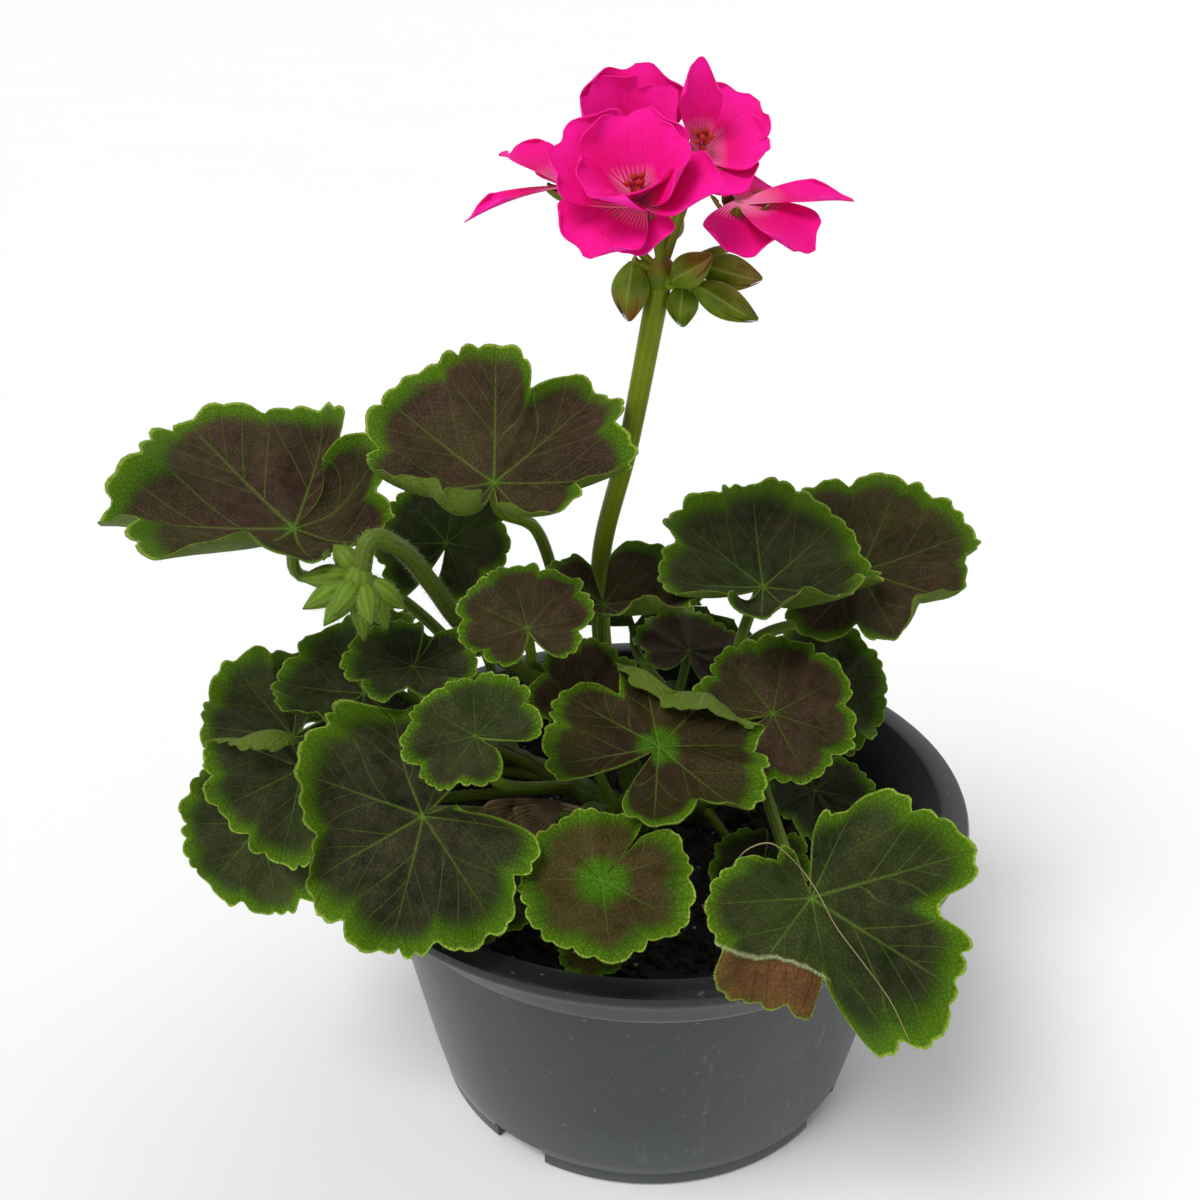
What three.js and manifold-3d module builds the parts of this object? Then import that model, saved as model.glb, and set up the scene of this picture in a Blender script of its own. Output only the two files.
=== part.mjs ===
// A zonal geranium in its nursery pot: a shallow grey pot with a rolled lip, potting soil, a branching
// fleshy stem, bronze-zoned leaves on long leafstalks, one flower head and one nodding young bud head.
// Millimetres, +Z up. The origin is the middle of the pot's underside, and -Y is the plant's front.
import * as THREE from "three";
import { mergeVertices } from "three/addons/utils/BufferGeometryUtils.js";
import Module from "manifold-3d";

const wasm = await Module();
wasm.setup();

// ---- driving sizes -----------------------------------------------------------------------------

const GAP = 0.3; // left between pieces that touch
const POT_HEIGHT = 70;
const LIP_RADIUS = 70; // a 14 cm pot
const FOOT_RADIUS = 48.5;
const POT_WALL = 1.4;
const SOIL_TOP = 56;
const LEAF_THICKNESS = 0.7;
const PETAL_THICKNESS = 0.7;

// ---- colours -----------------------------------------------------------------------------------

const paint = (color, roughness) => new THREE.MeshStandardMaterial({ color, roughness, metalness: 0 });
const POT_GREY = paint("#4a5052", 0.5);
const PEAT_BROWN = paint("#17110d", 0.95);
const STEM_GREEN = paint("#5f8a24", 0.6);
const LEAF_BRONZE = paint("#3b4a22", 0.65);
const PETAL_PINK = paint("#e8168f", 0.5);
const STAMEN_RED = paint("#a8281c", 0.6);
const BUD_GREEN = paint("#7da02c", 0.65);
const DRY_BROWN = paint("#5c4327", 0.85);

// ---- small tools -------------------------------------------------------------------------------

const DEGREES = Math.PI / 180;
const point = (x, y, z) => new THREE.Vector3(x, y, z);
const mix = (a, b, share) => a + (b - a) * share;
const smooth = (points) => new THREE.CatmullRomCurve3(points, false, "centripetal");

// A closed geometry as a solid that can be joined and cut.
function solid(geometry) {
  const bare = new THREE.BufferGeometry();
  bare.setAttribute("position", geometry.getAttribute("position"));
  bare.setIndex(geometry.getIndex());
  const merged = mergeVertices(bare, 1e-4);
  return new wasm.Manifold(
    new wasm.Mesh({
      numProp: 3,
      vertProperties: merged.attributes.position.array,
      triVerts: new Uint32Array(merged.index.array),
    }),
  );
}

// A named mesh of the largest body of a solid, so that no crumb of a cut stays with it.
function piece(name, body, material) {
  const largest = body.decompose().sort((a, b) => b.volume() - a.volume())[0];
  const { vertProperties, triVerts } = largest.getMesh();
  const geometry = new THREE.BufferGeometry();
  geometry.setAttribute("position", new THREE.BufferAttribute(vertProperties, 3));
  geometry.setIndex(new THREE.BufferAttribute(triVerts, 1));
  geometry.computeVertexNormals();
  const mesh = new THREE.Mesh(geometry, material);
  mesh.name = name;
  return mesh;
}

const join = (solids) => solids.reduce((whole, next) => whole.add(next));

function shell(points, triangles) {
  const geometry = new THREE.BufferGeometry();
  geometry.setAttribute("position", new THREE.Float32BufferAttribute(points.flatMap((p) => p.toArray()), 3));
  geometry.setIndex(triangles.flat());
  return geometry;
}

// A closed round stalk along a smooth curve. radiusAt gives its radius at a share of the length.
function stalk(points, radiusAt, steps, sides) {
  const curve = smooth(points);
  const { normals, binormals } = curve.computeFrenetFrames(steps, false);
  const rings = [];
  for (let i = 0; i <= steps; i++) {
    const centre = curve.getPointAt(i / steps);
    const radius = radiusAt(i / steps);
    for (let j = 0; j < sides; j++) {
      const turn = (2 * Math.PI * j) / sides;
      rings.push(
        centre
          .clone()
          .addScaledVector(normals[i], radius * Math.cos(turn))
          .addScaledVector(binormals[i], radius * Math.sin(turn)),
      );
    }
  }
  const triangles = [];
  for (let i = 0; i < steps; i++) {
    for (let j = 0; j < sides; j++) {
      const a = i * sides + j;
      const b = i * sides + ((j + 1) % sides);
      triangles.push([a, b, b + sides], [a, b + sides, a + sides]);
    }
  }
  for (let j = 1; j < sides - 1; j++) {
    const last = steps * sides;
    triangles.push([0, j + 1, j], [last, last + j, last + j + 1]);
  }
  return solid(shell(rings, triangles));
}

// A thin solid from its upper face: the lower face is the same triangles, a thickness below.
function thicken(points, triangles, boundary, thicknessAt) {
  const normals = points.map(() => point(0, 0, 0));
  for (const [a, b, c] of triangles) {
    const edge = points[b].clone().sub(points[a]);
    const face = edge.cross(points[c].clone().sub(points[a]));
    for (const corner of [a, b, c]) normals[corner].add(face);
  }
  const count = points.length;
  const under = points.map((p, i) => p.clone().addScaledVector(normals[i].normalize(), -thicknessAt(i)));
  const faces = [...triangles];
  for (const [a, b, c] of triangles) faces.push([a + count, c + count, b + count]);
  boundary.forEach((a, i) => {
    const b = boundary[(i + 1) % boundary.length];
    faces.push([b, a, a + count], [b, a + count, b + count]);
  });
  return solid(shell([...points, ...under], faces));
}

// ---- the pot -----------------------------------------------------------------------------------
// Injection moulded: a drafted wall, a collar above a small ledge, a flat lip, and a foot ring with four
// drainage notches that open into a raised channel round the flat middle of the base.

const COLLAR_RADIUS = 60; // at the ledge
const COLLAR_HEIGHT = 56;
const LIP_WIDTH = 5;
const LIP_DROP = 3;
const CHANNEL_RADIUS = 32;
const CHANNEL_DEPTH = 4;
const NOTCH_WIDTH = 13;
const NOTCH_HEIGHT = 5;
const NOTCH_TURN = -123; // degrees from +X, of the notch that shows at the front left
const POT_SEGMENTS = 40;

function lathe(profile, segments) {
  const outline = profile.map(([x, y]) => new THREE.Vector2(x, y));
  return solid(new THREE.LatheGeometry(outline, segments).rotateX(Math.PI / 2));
}

function potSolid() {
  const inner = LIP_RADIUS - LIP_WIDTH;
  const body = lathe(
    [
      [0, 0],
      [CHANNEL_RADIUS, 0],
      [CHANNEL_RADIUS + 1, CHANNEL_DEPTH],
      [FOOT_RADIUS - 3.5, CHANNEL_DEPTH],
      [FOOT_RADIUS - 2.5, 0],
      [FOOT_RADIUS - 0.6, 0],
      [FOOT_RADIUS, 3.5],
      [FOOT_RADIUS + 0.7, 4.2],
      [COLLAR_RADIUS - 0.6, COLLAR_HEIGHT - 0.8],
      [COLLAR_RADIUS + 0.4, COLLAR_HEIGHT],
      [inner - 0.6, POT_HEIGHT - LIP_DROP],
      [LIP_RADIUS - 0.8, POT_HEIGHT - LIP_DROP],
      [LIP_RADIUS, POT_HEIGHT - 1.2],
      [LIP_RADIUS - 1.2, POT_HEIGHT],
      [inner, POT_HEIGHT],
      [inner - 1.2, POT_HEIGHT - 1.2],
      [COLLAR_RADIUS - POT_WALL, COLLAR_HEIGHT - 1],
      [FOOT_RADIUS - POT_WALL, CHANNEL_DEPTH + 2 * POT_WALL],
      [CHANNEL_RADIUS + 1, CHANNEL_DEPTH + POT_WALL],
      [CHANNEL_RADIUS - 1, POT_WALL],
      [0, POT_WALL],
    ],
    POT_SEGMENTS,
  );
  const cuts = [];
  for (let quarter = 0; quarter < 4; quarter++) {
    const notch = new THREE.BoxGeometry(14, NOTCH_WIDTH, 2 * NOTCH_HEIGHT);
    notch.translate(FOOT_RADIUS + 2, 0, 0).rotateZ((NOTCH_TURN + 90 * quarter) * DEGREES);
    const hole = new THREE.CylinderGeometry(3.5, 3.5, 12, 10);
    hole.rotateX(Math.PI / 2).translate(FOOT_RADIUS - 10, 0, CHANNEL_DEPTH);
    hole.rotateZ((NOTCH_TURN + 90 * quarter) * DEGREES);
    cuts.push(solid(notch), solid(hole));
  }
  return body.subtract(join(cuts));
}

// ---- the stem ----------------------------------------------------------------------------------
// One short trunk stands in the soil and forks into five fleshy shoots.

const TRUNK = [point(0, 2, 36), point(0, 2, 50), point(0, 2, 60)];
const TRUNK_RADIUS = 4.6;
const SHOOT_RADIUS = 3.2;
const SHOOT_TIP_RADIUS = 2.2;
const SHOOTS = {
  left: [point(0, 2, 58), point(-14, 0, 67), point(-34, -3, 80)],
  front: [point(0, 2, 58), point(-4, -9, 65), point(-12, -24, 78)],
  right: [point(0, 2, 58), point(12, -1, 66), point(28, -6, 80)],
  middle: [point(0, 2, 58), point(-5, 4, 74), point(-16, 6, 98)],
  back: [point(0, 2, 58), point(3, 12, 66), point(6, 28, 80)],
};
const shootCurves = Object.fromEntries(
  Object.entries(SHOOTS).map(([name, points]) => [name, smooth(points)]),
);

// The whole branching stem, grown by a margin when it is used to trim what meets it.
function stemSolid(margin) {
  const trunk = stalk(TRUNK, (share) => TRUNK_RADIUS + margin + 0.6 * (1 - share), 3, 9);
  const shoots = Object.values(SHOOTS).map((points) =>
    stalk(points, (share) => mix(SHOOT_RADIUS, SHOOT_TIP_RADIUS, share) + margin, 5, 6),
  );
  return join([trunk, ...shoots]);
}

// ---- the soil ----------------------------------------------------------------------------------

const SOIL_RINGS = 4;
const SOIL_SEGMENTS = 24;
const CRUMB_HEIGHT = 2;

// Fills the pot, with a lumpy top and one plain hole where the trunk stands.
function soilSolid() {
  const wallAt = (z) => mix(FOOT_RADIUS, COLLAR_RADIUS, (z - 6) / (COLLAR_HEIGHT - 6)) - POT_WALL - 1;
  const floor = CHANNEL_DEPTH + 2 * POT_WALL + GAP;
  const points = [point(0, 0, floor)];
  const ring = (radius, heightAt) => {
    for (let j = 0; j < SOIL_SEGMENTS; j++) {
      const turn = (2 * Math.PI * j) / SOIL_SEGMENTS;
      points.push(point(radius * Math.cos(turn), radius * Math.sin(turn), heightAt(turn)));
    }
  };
  ring(wallAt(floor) - 1, () => floor);
  for (let i = SOIL_RINGS; i > 0; i--) {
    const radius = (wallAt(SOIL_TOP) * i) / SOIL_RINGS;
    const lump = (turn) => CRUMB_HEIGHT * Math.sin(7 * turn + 2 * i) * Math.cos(3 * turn - 1.7 * i);
    ring(radius, (turn) => (i === SOIL_RINGS ? SOIL_TOP - 2 : SOIL_TOP + lump(turn)));
  }
  points.push(point(0, 0, SOIL_TOP));
  const triangles = [];
  const rings = SOIL_RINGS + 1;
  for (let j = 0; j < SOIL_SEGMENTS; j++) {
    const next = (j + 1) % SOIL_SEGMENTS;
    triangles.push([0, 1 + next, 1 + j]);
    for (let i = 0; i < rings - 1; i++) {
      const a = 1 + i * SOIL_SEGMENTS;
      const b = a + SOIL_SEGMENTS;
      triangles.push([a + j, a + next, b + next], [a + j, b + next, b + j]);
    }
    const last = 1 + (rings - 1) * SOIL_SEGMENTS;
    triangles.push([last + j, last + next, points.length - 1]);
  }
  const hole = new THREE.CylinderGeometry(TRUNK_RADIUS + 1, TRUNK_RADIUS + 1, 60, 14);
  hole.rotateX(Math.PI / 2).translate(TRUNK[0].x, TRUNK[0].y, TRUNK[0].z - 1 + 30);
  return solid(shell(points, triangles)).subtract(solid(hole));
}

// ---- the leaves --------------------------------------------------------------------------------
// A blade is a fan of seven lobes round the top of its leafstalk, open at the notch. Lobes meet in shallow
// dips, and each has a scalloped edge.

const LOBES = 7;
const LOBE_ANGLE = 48 * DEGREES;
const SCALLOP_DEPTH = 0.04; // this and the next four are shares of the leaf's radius
const LOBE_DEPTH = 0.13;
const BASE_SHRINK = 0.1;
const PLEAT = 0.05;
const WAVE = 0.04;
const SOFT_FOLD = 0.3;
const HUB_THICKNESS = 1.6;
const LARGE_LEAF = 22;
const SMALL_LEAF = 12;

// at: top of the leafstalk. size: radius. lean: tip of the face from level, the bearing that it tips toward
// (degrees anticlockwise from +X, seen from above), and the turn of the middle lobe from downhill.
// cup: rise of the edge over the hub. lobes: how deep its lobes are, from the usual 1. spread: widening of
// the fan, which closes its notch. long: a stretch and its bearing from the middle lobe. dips: notches of the
// edge, each a bearing, a depth and a width. bends: folds, each a bearing, a start as a share of the radius, a
// turn upward, and a radius if it is a sharp one.
// root: the shoot that it grows from, and how far along it. via: points that the leafstalk passes.
const LEAVES = {
  crown: { at: [-31.5, -5, 142.5], size: 28, lean: [36, -95, 187], cup: 0.15, long: [0.18, -10],
    dips: [[-23, 0.28, 9], [-45, 0.06, 12]], bends: [[145, 0.25, 100], [-168, 0.2, 40]],
    via: [[-21, 15, 112], [-25, 10, 127]], root: ["middle", 0.95] },
  wing: { at: [-74, 0, 130], size: 34, lean: [24, -75, -45], cup: 0.12, spread: 1.06, long: [0.18, -77],
    bends: [[30, 0.02, 32], [140, 0.15, 40]], via: [[-44, 12, 97], [-63, 13, 113]], root: ["left", 0.85] },
  nook: { at: [-45, 15, 121], size: 17, lean: [50, -110, -175], cup: 0.15, root: ["middle", 0.75] },
  perch: { at: [-24, -20, 118], size: 14, lean: [24, -95, -160], cup: 0.15, long: [0.12, 0],
    via: [[-24, -7, 103]], root: ["middle", 0.85] },
  bridge: { at: [-10, 2, 113], size: 18.5, lean: [22, -82, 0], cup: 0.12, long: [0.18, 90],
    bends: [[0, 0.05, 45]], root: ["middle", 0.6] },
  fan: { at: [24, 8, 115], size: 26, lean: [32, -68, 119], cup: 0.18, bends: [[-119, 0.1, 50]],
    via: [[19, 6, 100]], root: ["right", 0.4] },
  outer_fan: { at: [47, 22, 113], size: 27, lean: [24, -95, 114], cup: 0.18, bends: [[-60, 0.6, 60]],
    via: [[22, 12, 99]], root: ["right", 0.25] },
  drape: { at: [-76, -10, 86], size: 21, lean: [80, -95, -45], cup: 0.1, bends: [[-135, 0.45, -70]],
    root: ["left", 0.55] },
  fold: { at: [-58, -17, 101], size: 20, lean: [28, -110, -80], cup: 0.15, bends: [[80, 0.25, 50]],
    root: ["left", 0.75] },
  shelf: { at: [-47, -20, 109], size: 14, lean: [10, -86, -24], cup: 0.2, root: ["left", 0.7] },
  elbow: { at: [-31, -48, 110], size: 13.3, lean: [25, -110, -106], cup: 0.15, root: ["left", 0.5] },
  apron: { at: [-41, -50, 94], size: 26, lean: [60, -98, -55], cup: 0.15,
    dips: [[-148, 0.5, 24], [160, 0.6, 14]], bends: [[-115, 0.2, -60], [-45, 0.5, 55]],
    root: ["front", 0.7] },
  hanging: { at: [-67, -35, 94], size: 20, lean: [76, -95, -13], cup: 0.12, bends: [[-167, 0.15, 130]],
    root: ["left", 0.6] },
  lowest: { at: [-77, -34, 80], size: 19.5, lean: [80, -98, 10], cup: 0.1, dips: [[-95, 0.16, 30]],
    bends: [[170, 0.1, -80]], via: [[-50, -24, 80]], root: ["left", 0.5] },
  round: { at: [-8, -59.5, 87.8], size: 16.2, lean: [22, -99, -33], cup: 0.06, spread: 1.05,
    lobes: 0.4, long: [0.1, 120], root: ["front", 0.8] },
  centre: { at: [2, -32, 99], size: 24, lean: [24, -88, 140], cup: 0.07,
    dips: [[72, 0.3, 12], [-50, 0.2, 12]], bends: [[-140, 0.45, 35], [11, 0.5, 150, 0.08]],
    root: ["front", 0.75] },
  screen: { at: [-12, -15, 98], size: 14.5, lean: [50, -50, 150], cup: 0.12, root: ["front", 0.5] },
  shade: { at: [26, -8, 93], size: 18, lean: [37, -89, 119], cup: 0.12, root: ["right", 0.6] },
  flank: { at: [40, 20, 84], size: 17, lean: [50, -62, 91], cup: 0.12, root: ["back", 0.5] },
  hidden: { at: [9, 22, 92], size: 13.5, lean: [15, -60, 143], cup: 0.12, root: ["back", 0.5] },
  floor: { at: [37, -3, 71], size: 14, lean: [25, -60, 10], cup: 0.11, dips: [[135, 0.35, 30]],
    root: ["right", 0.7] },
  gloom: { at: [24, -24, 66], size: 11, lean: [15, -135, 14], cup: 0.12, root: ["right", 0.4] },
  spill: { at: [29, -62, 87], size: 25.5, lean: [52, -90, 11], cup: 0.1, long: [0.26, 62],
    dips: [[-2, 0.48, 9], [-22, 0.18, 16], [56, 0.1, 12], [77, 0.28, 8], [-150, 0.5, 22], [152, 0.35, 16]],
    bends: [[-25, 0.5, -35, 0.1]], root: ["right", 0.85] },
  rim: { at: [-30, -46, 75], size: 10.5, lean: [40, -90, 0], cup: 0.12, root: ["front", 0.6] },
  sprout: { at: [-10, -50, 65], size: 7, lean: [35, -90, 0], cup: 0.2, root: ["front", 0.4] },
  back_left: { at: [-40, 36, 84], size: 21, lean: [35, 130, 20], cup: 0.12, root: ["back", 0.5] },
  back_middle: { at: [-4, 52, 84], size: 20, lean: [30, 95, 0], cup: 0.12, root: ["back", 0.9] },
  back_right: { at: [26, 42, 84], size: 18, lean: [32, 60, -10], cup: 0.12, root: ["back", 0.7] },
  back_outer: { at: [-68, 30, 84], size: 19, lean: [45, 160, 0], cup: 0.12, root: ["left", 0.5] },
};

function radiusAt(leaf, turn) {
  const lobe = turn / LOBE_ANGLE;
  const across = Math.abs(lobe - Math.round(lobe)) * 2;
  const toBase = Math.abs(turn) / (LOBES * LOBE_ANGLE * 0.5);
  const [stretch, bearing] = leaf.long || [0, 0];
  let outline = (1 - LOBE_DEPTH * (leaf.lobes || 1) * across ** 3) * (1 - BASE_SHRINK * toBase ** 3);
  for (const [middle, depth, width] of leaf.dips || []) {
    outline *= 1 - depth * Math.exp(-(((turn / DEGREES - middle) / width) ** 2));
  }
  return leaf.size * outline * (1 + stretch * Math.cos(turn - bearing * DEGREES));
}

// Turns what lies past a line across the leaf upward round a soft fold.
function folded([x, y, z], size, [bearing, start, turn, radius = SOFT_FOLD]) {
  const c = Math.cos(bearing * DEGREES);
  const s = Math.sin(bearing * DEGREES);
  const along = x * c + y * s - start * size;
  if (along <= 0) return [x, y, z];
  const fold = radius * size;
  const angle = Math.min(along / fold, Math.abs(turn) * DEGREES);
  const rest = along - angle * fold;
  const side = Math.sign(turn);
  const shift = fold * Math.sin(angle) + rest * Math.cos(angle) - along - side * Math.sin(angle) * z;
  const rise = side * (fold * (1 - Math.cos(angle)) + rest * Math.sin(angle));
  return [x + shift * c, y + shift * s, z * Math.cos(angle) + rise];
}

// The face, middle lobe and left side of a leaf or bloom.
function frameOf([tip, bearing, turn]) {
  const [ct, st] = [Math.cos(tip * DEGREES), Math.sin(tip * DEGREES)];
  const [cb, sb] = [Math.cos(bearing * DEGREES), Math.sin(bearing * DEGREES)];
  const face = point(st * cb, st * sb, ct);
  const mid = point(ct * cb, ct * sb, -st).applyAxisAngle(face, turn * DEGREES);
  return { face, mid, side: face.clone().cross(mid) };
}

// The place of a blade's point: a share of the way out, at a turn from the middle lobe.
function onBlade(leaf, frame, share, turn, scallop) {
  const reach = share * radiusAt(leaf, turn) * (1 - SCALLOP_DEPTH * scallop);
  const pleat = -PLEAT * share * Math.cos((2 * Math.PI * turn) / LOBE_ANGLE);
  const wave = WAVE * share ** 2 * Math.sin(3 * turn);
  const height = leaf.size * (leaf.cup * share ** 1.6 + pleat + wave);
  const angle = turn * (leaf.spread || 1);
  let place = [reach * Math.cos(angle), reach * Math.sin(angle), height];
  for (const bend of leaf.bends || []) place = folded(place, leaf.size, bend);
  return point(...leaf.at)
    .addScaledVector(frame.mid, place[0])
    .addScaledVector(frame.side, place[1])
    .addScaledVector(frame.face, place[2]);
}

function bladeSolid(leaf, frame) {
  const scallops = leaf.size < LARGE_LEAF ? 3 : 4;
  const rings = [[0.1, 1], [1, 2 * scallops]];
  if (leaf.size >= SMALL_LEAF) rings.splice(1, 0, [0.58, scallops === 3 ? 2 : 4]);
  const half = (LOBES * LOBE_ANGLE) / 2;
  const points = [point(...leaf.at)];
  const starts = [];
  for (const [share, steps] of rings) {
    starts.push(points.length);
    for (let j = 0; j <= LOBES * steps; j++) {
      const turn = -half + (j * LOBE_ANGLE) / steps;
      points.push(onBlade(leaf, frame, share, turn, share === 1 && j % 2 === 0 ? 1 : 0));
    }
  }
  const triangles = [];
  for (let j = 0; j < LOBES; j++) triangles.push([0, 1 + j, 2 + j]);
  for (let k = 1; k < rings.length; k++) {
    const split = rings[k][1] / rings[k - 1][1];
    for (let j = 0; j < LOBES * rings[k - 1][1]; j++) {
      const [a, b] = [starts[k - 1] + j, starts[k] + split * j];
      const middle = Math.floor(split / 2);
      for (let i = 0; i < split; i++) triangles.push([i < middle ? a : a + 1, b + i, b + i + 1]);
      triangles.push([a, b + middle, a + 1]);
    }
  }
  const ends = starts.map((start, k) => start + LOBES * rings[k][1]);
  const rim = Array.from({ length: ends.at(-1) - starts.at(-1) + 1 }, (_, j) => starts.at(-1) + j);
  const boundary = [0, ...starts.slice(0, -1), ...rim, ...ends.slice(0, -1).reverse()];
  return thicken(points, triangles, boundary, (i) => (i === 0 ? HUB_THICKNESS : LEAF_THICKNESS));
}

// The leafstalk leaves its shoot outwards and meets the blade from below.
function leafstalkSolid(leaf, frame) {
  const [shoot, share] = leaf.root;
  const hub = point(...leaf.at);
  const root = shootCurves[shoot].getPointAt(share);
  const top = hub.clone().addScaledVector(frame.face, -0.5);
  const below = hub.clone().addScaledVector(frame.face, -0.2 * top.distanceTo(root));
  const way = (leaf.via || []).map((p) => point(...p));
  const radius = mix(0.8, 1.35, Math.min(1, leaf.size / 28));
  const thickness = (along) => radius * (1 + 0.35 * Math.max(0, 1 - 6 * along));
  return stalk([root, ...way, below, top], thickness, 5, leaf.size < LARGE_LEAF ? 4 : 5);
}

// ---- the flower head ---------------------------------------------------------------------------
// One tall stalk carries open blooms on pedicels, and closed buds that droop round its top.

const HEAD = [1, 0, 183];
const PEDUNCLE = [point(-8, 6, 80), point(-11, 14, 102), point(-11, 16.5, 118), point(-5, 8, 147),
  point(...HEAD)];
const PEDUNCLE_RADIUS = 2.1;
const PEDICEL_RADIUS = 1;
const CALYX_FLARE = 0.6;
const THROAT_RADIUS = 2;
const THROAT_DEPTH = 2.6;

// stamens: whether they show. at: throat. lean: as a leaf's. via: a point on its pedicel.
// petals: bearing in the bloom, lift above its plane, length, width, and curl along the petal, in degrees.
const BLOOMS = {
  front: { stamens: true, at: [-3, -14, 198], lean: [40, -105, 0], via: [0, -4, 191],
    petals: [[190, 44, 15.5, 19, 25], [252, 36, 18, 20, 15], [318, 50, 14, 17, 20], [30, 58, 10, 14, 20],
      [112, 46, 14, 17, 20], [330, 5, 15.5, 19, 5], [85, 22, 17, 14, 10], [10, -5, 12, 13, 0]] },
  back: { stamens: true, at: [-4.4, 5.2, 202.6], lean: [40, -90, 0], via: [-1, 3, 192],
    petals: [[180, 52, 17, 20, 20], [238, 55, 16, 18, 20], [131, 55, 15, 12.5, 15]] },
  top: { stamens: true, at: [7.4, 0.5, 204], lean: [40, -80, 0], via: [5, 2, 195],
    petals: [[134, 15, 15.5, 16, 0], [186, 58, 17, 8, 10], [85, 18, 13, 13, 10], [27, 8, 13, 13.5, -5],
      [330, 10, 9, 8, 0]] },
  right: { at: [14.4, -8.2, 197], lean: [15, -60, 0], via: [10, -1, 187],
    petals: [[66, 12, 21, 9, 25], [22, -5, 17, 16, 40], [-25, -20, 13, 14, 20], [115, 0, 13, 12, 20]] },
  left: { stamens: true, at: [-16, 2.4, 198.2], lean: [15, 180, 0], via: [-8, 2, 190],
    petals: [[15, 4, 21.5, 11, 28], [-30, 40, 16, 13, 45], [-85, 15, 13, 12, 20], [-140, 30, 11, 10, 20]] },
};

// Each closed bud: its base, its tip and its greatest radius.
const BUDS = [
  [[-4.5, -1, 185], [-5, -1, 174], 3.5],
  [[5, -1, 181], [5.2, -1, 173], 3],
  [[8, 1, 184], [20, 2, 181.5], 3.3],
  [[3, -4, 182], [10, -6, 187.5], 3.1],
  [[7, -4, 181.5], [19, -5.5, 175.5], 3],
  [[2, 4, 188], [4, 5, 194], 2.2],
  [[-2, 4, 184], [-6, 8, 177], 2.8],
];

// A closed bud or anther, round and pointed at its tip.
function budSolid(from, to, radius, sides, rings) {
  const [base, tip] = [point(...from), point(...to)];
  const length = base.distanceTo(tip);
  const profile = [new THREE.Vector2(0, 0)];
  for (let i = 1; i < rings; i++) {
    const share = i / rings;
    profile.push(new THREE.Vector2(radius * Math.sin(Math.PI * share ** 0.85), length * share));
  }
  profile.push(new THREE.Vector2(0, length));
  const geometry = new THREE.LatheGeometry(profile, sides);
  const turn = new THREE.Quaternion().setFromUnitVectors(point(0, 1, 0), tip.clone().sub(base).normalize());
  geometry.applyQuaternion(turn).translate(base.x, base.y, base.z);
  return solid(geometry);
}

const PETAL_ROWS = [0, 0.3, 0.7, 1];
const PETAL_COLUMNS = [-1, -0.35, 0.35, 1];
const PETAL_CUP = 0.14;

// A petal widens from a narrow claw to a broad round end, and curls along its length.
function petalSolid(origin, frame, [bearing, lift, length, width, curl]) {
  const out = frame.mid.clone().applyAxisAngle(frame.face, bearing * DEGREES);
  const across = frame.face.clone().cross(out);
  const along = (share) => {
    const angle = (lift - curl * (share - 0.3)) * DEGREES;
    return out.clone().multiplyScalar(Math.cos(angle)).addScaledVector(frame.face, Math.sin(angle));
  };
  const centreline = (share) => {
    const place = origin.clone();
    for (let i = 0; i < 8; i++) place.addScaledVector(along(((i + 0.5) / 8) * share), (length * share) / 8);
    return place;
  };
  const points = [];
  for (const row of PETAL_ROWS) {
    const half = 0.5 * width * (0.16 + 0.84 * Math.sin(Math.min(1, row * 1.25) * 0.5 * Math.PI));
    for (const column of PETAL_COLUMNS) {
      const share = row * (1 - 0.22 * row * column ** 2);
      const up = across.clone().cross(along(share)).multiplyScalar(-1);
      points.push(
        centreline(share)
          .addScaledVector(across, half * column * (row === 1 ? 0.8 : 1))
          .addScaledVector(up, PETAL_CUP * width * row * column ** 2),
      );
    }
  }
  const columns = PETAL_COLUMNS.length;
  const triangles = [];
  for (let i = 0; i < PETAL_ROWS.length - 1; i++) {
    for (let j = 0; j < columns - 1; j++) {
      const a = i * columns + j;
      triangles.push([a, a + columns, a + 1], [a + 1, a + columns, a + columns + 1]);
    }
  }
  const last = (PETAL_ROWS.length - 1) * columns;
  const boundary = [];
  for (let j = columns - 1; j > 0; j--) boundary.push(j);
  for (let i = 0; i < PETAL_ROWS.length - 1; i++) boundary.push(i * columns);
  for (let j = 0; j < columns - 1; j++) boundary.push(last + j);
  for (let i = PETAL_ROWS.length - 1; i > 0; i--) boundary.push(i * columns + columns - 1);
  return thicken(points, triangles, boundary, () => PETAL_THICKNESS);
}

function bloomSolid(bloom) {
  const frame = frameOf(bloom.lean);
  const origin = point(...bloom.at);
  const throat = budSolid(
    origin.clone().addScaledVector(frame.face, -THROAT_DEPTH).toArray(),
    origin.clone().addScaledVector(frame.face, 0.6).toArray(),
    THROAT_RADIUS,
    6,
    3,
  );
  return join([throat, ...bloom.petals.map((petal) => petalSolid(origin, frame, petal))]);
}

// A tuft of anthers that stands in the throat of a bloom.
function stamenSolid(bloom) {
  const { face } = frameOf(bloom.lean);
  const from = point(...bloom.at).addScaledVector(face, 1.2);
  return budSolid(from.toArray(), from.clone().addScaledVector(face, 4).toArray(), 1.1, 6, 4);
}

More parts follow.
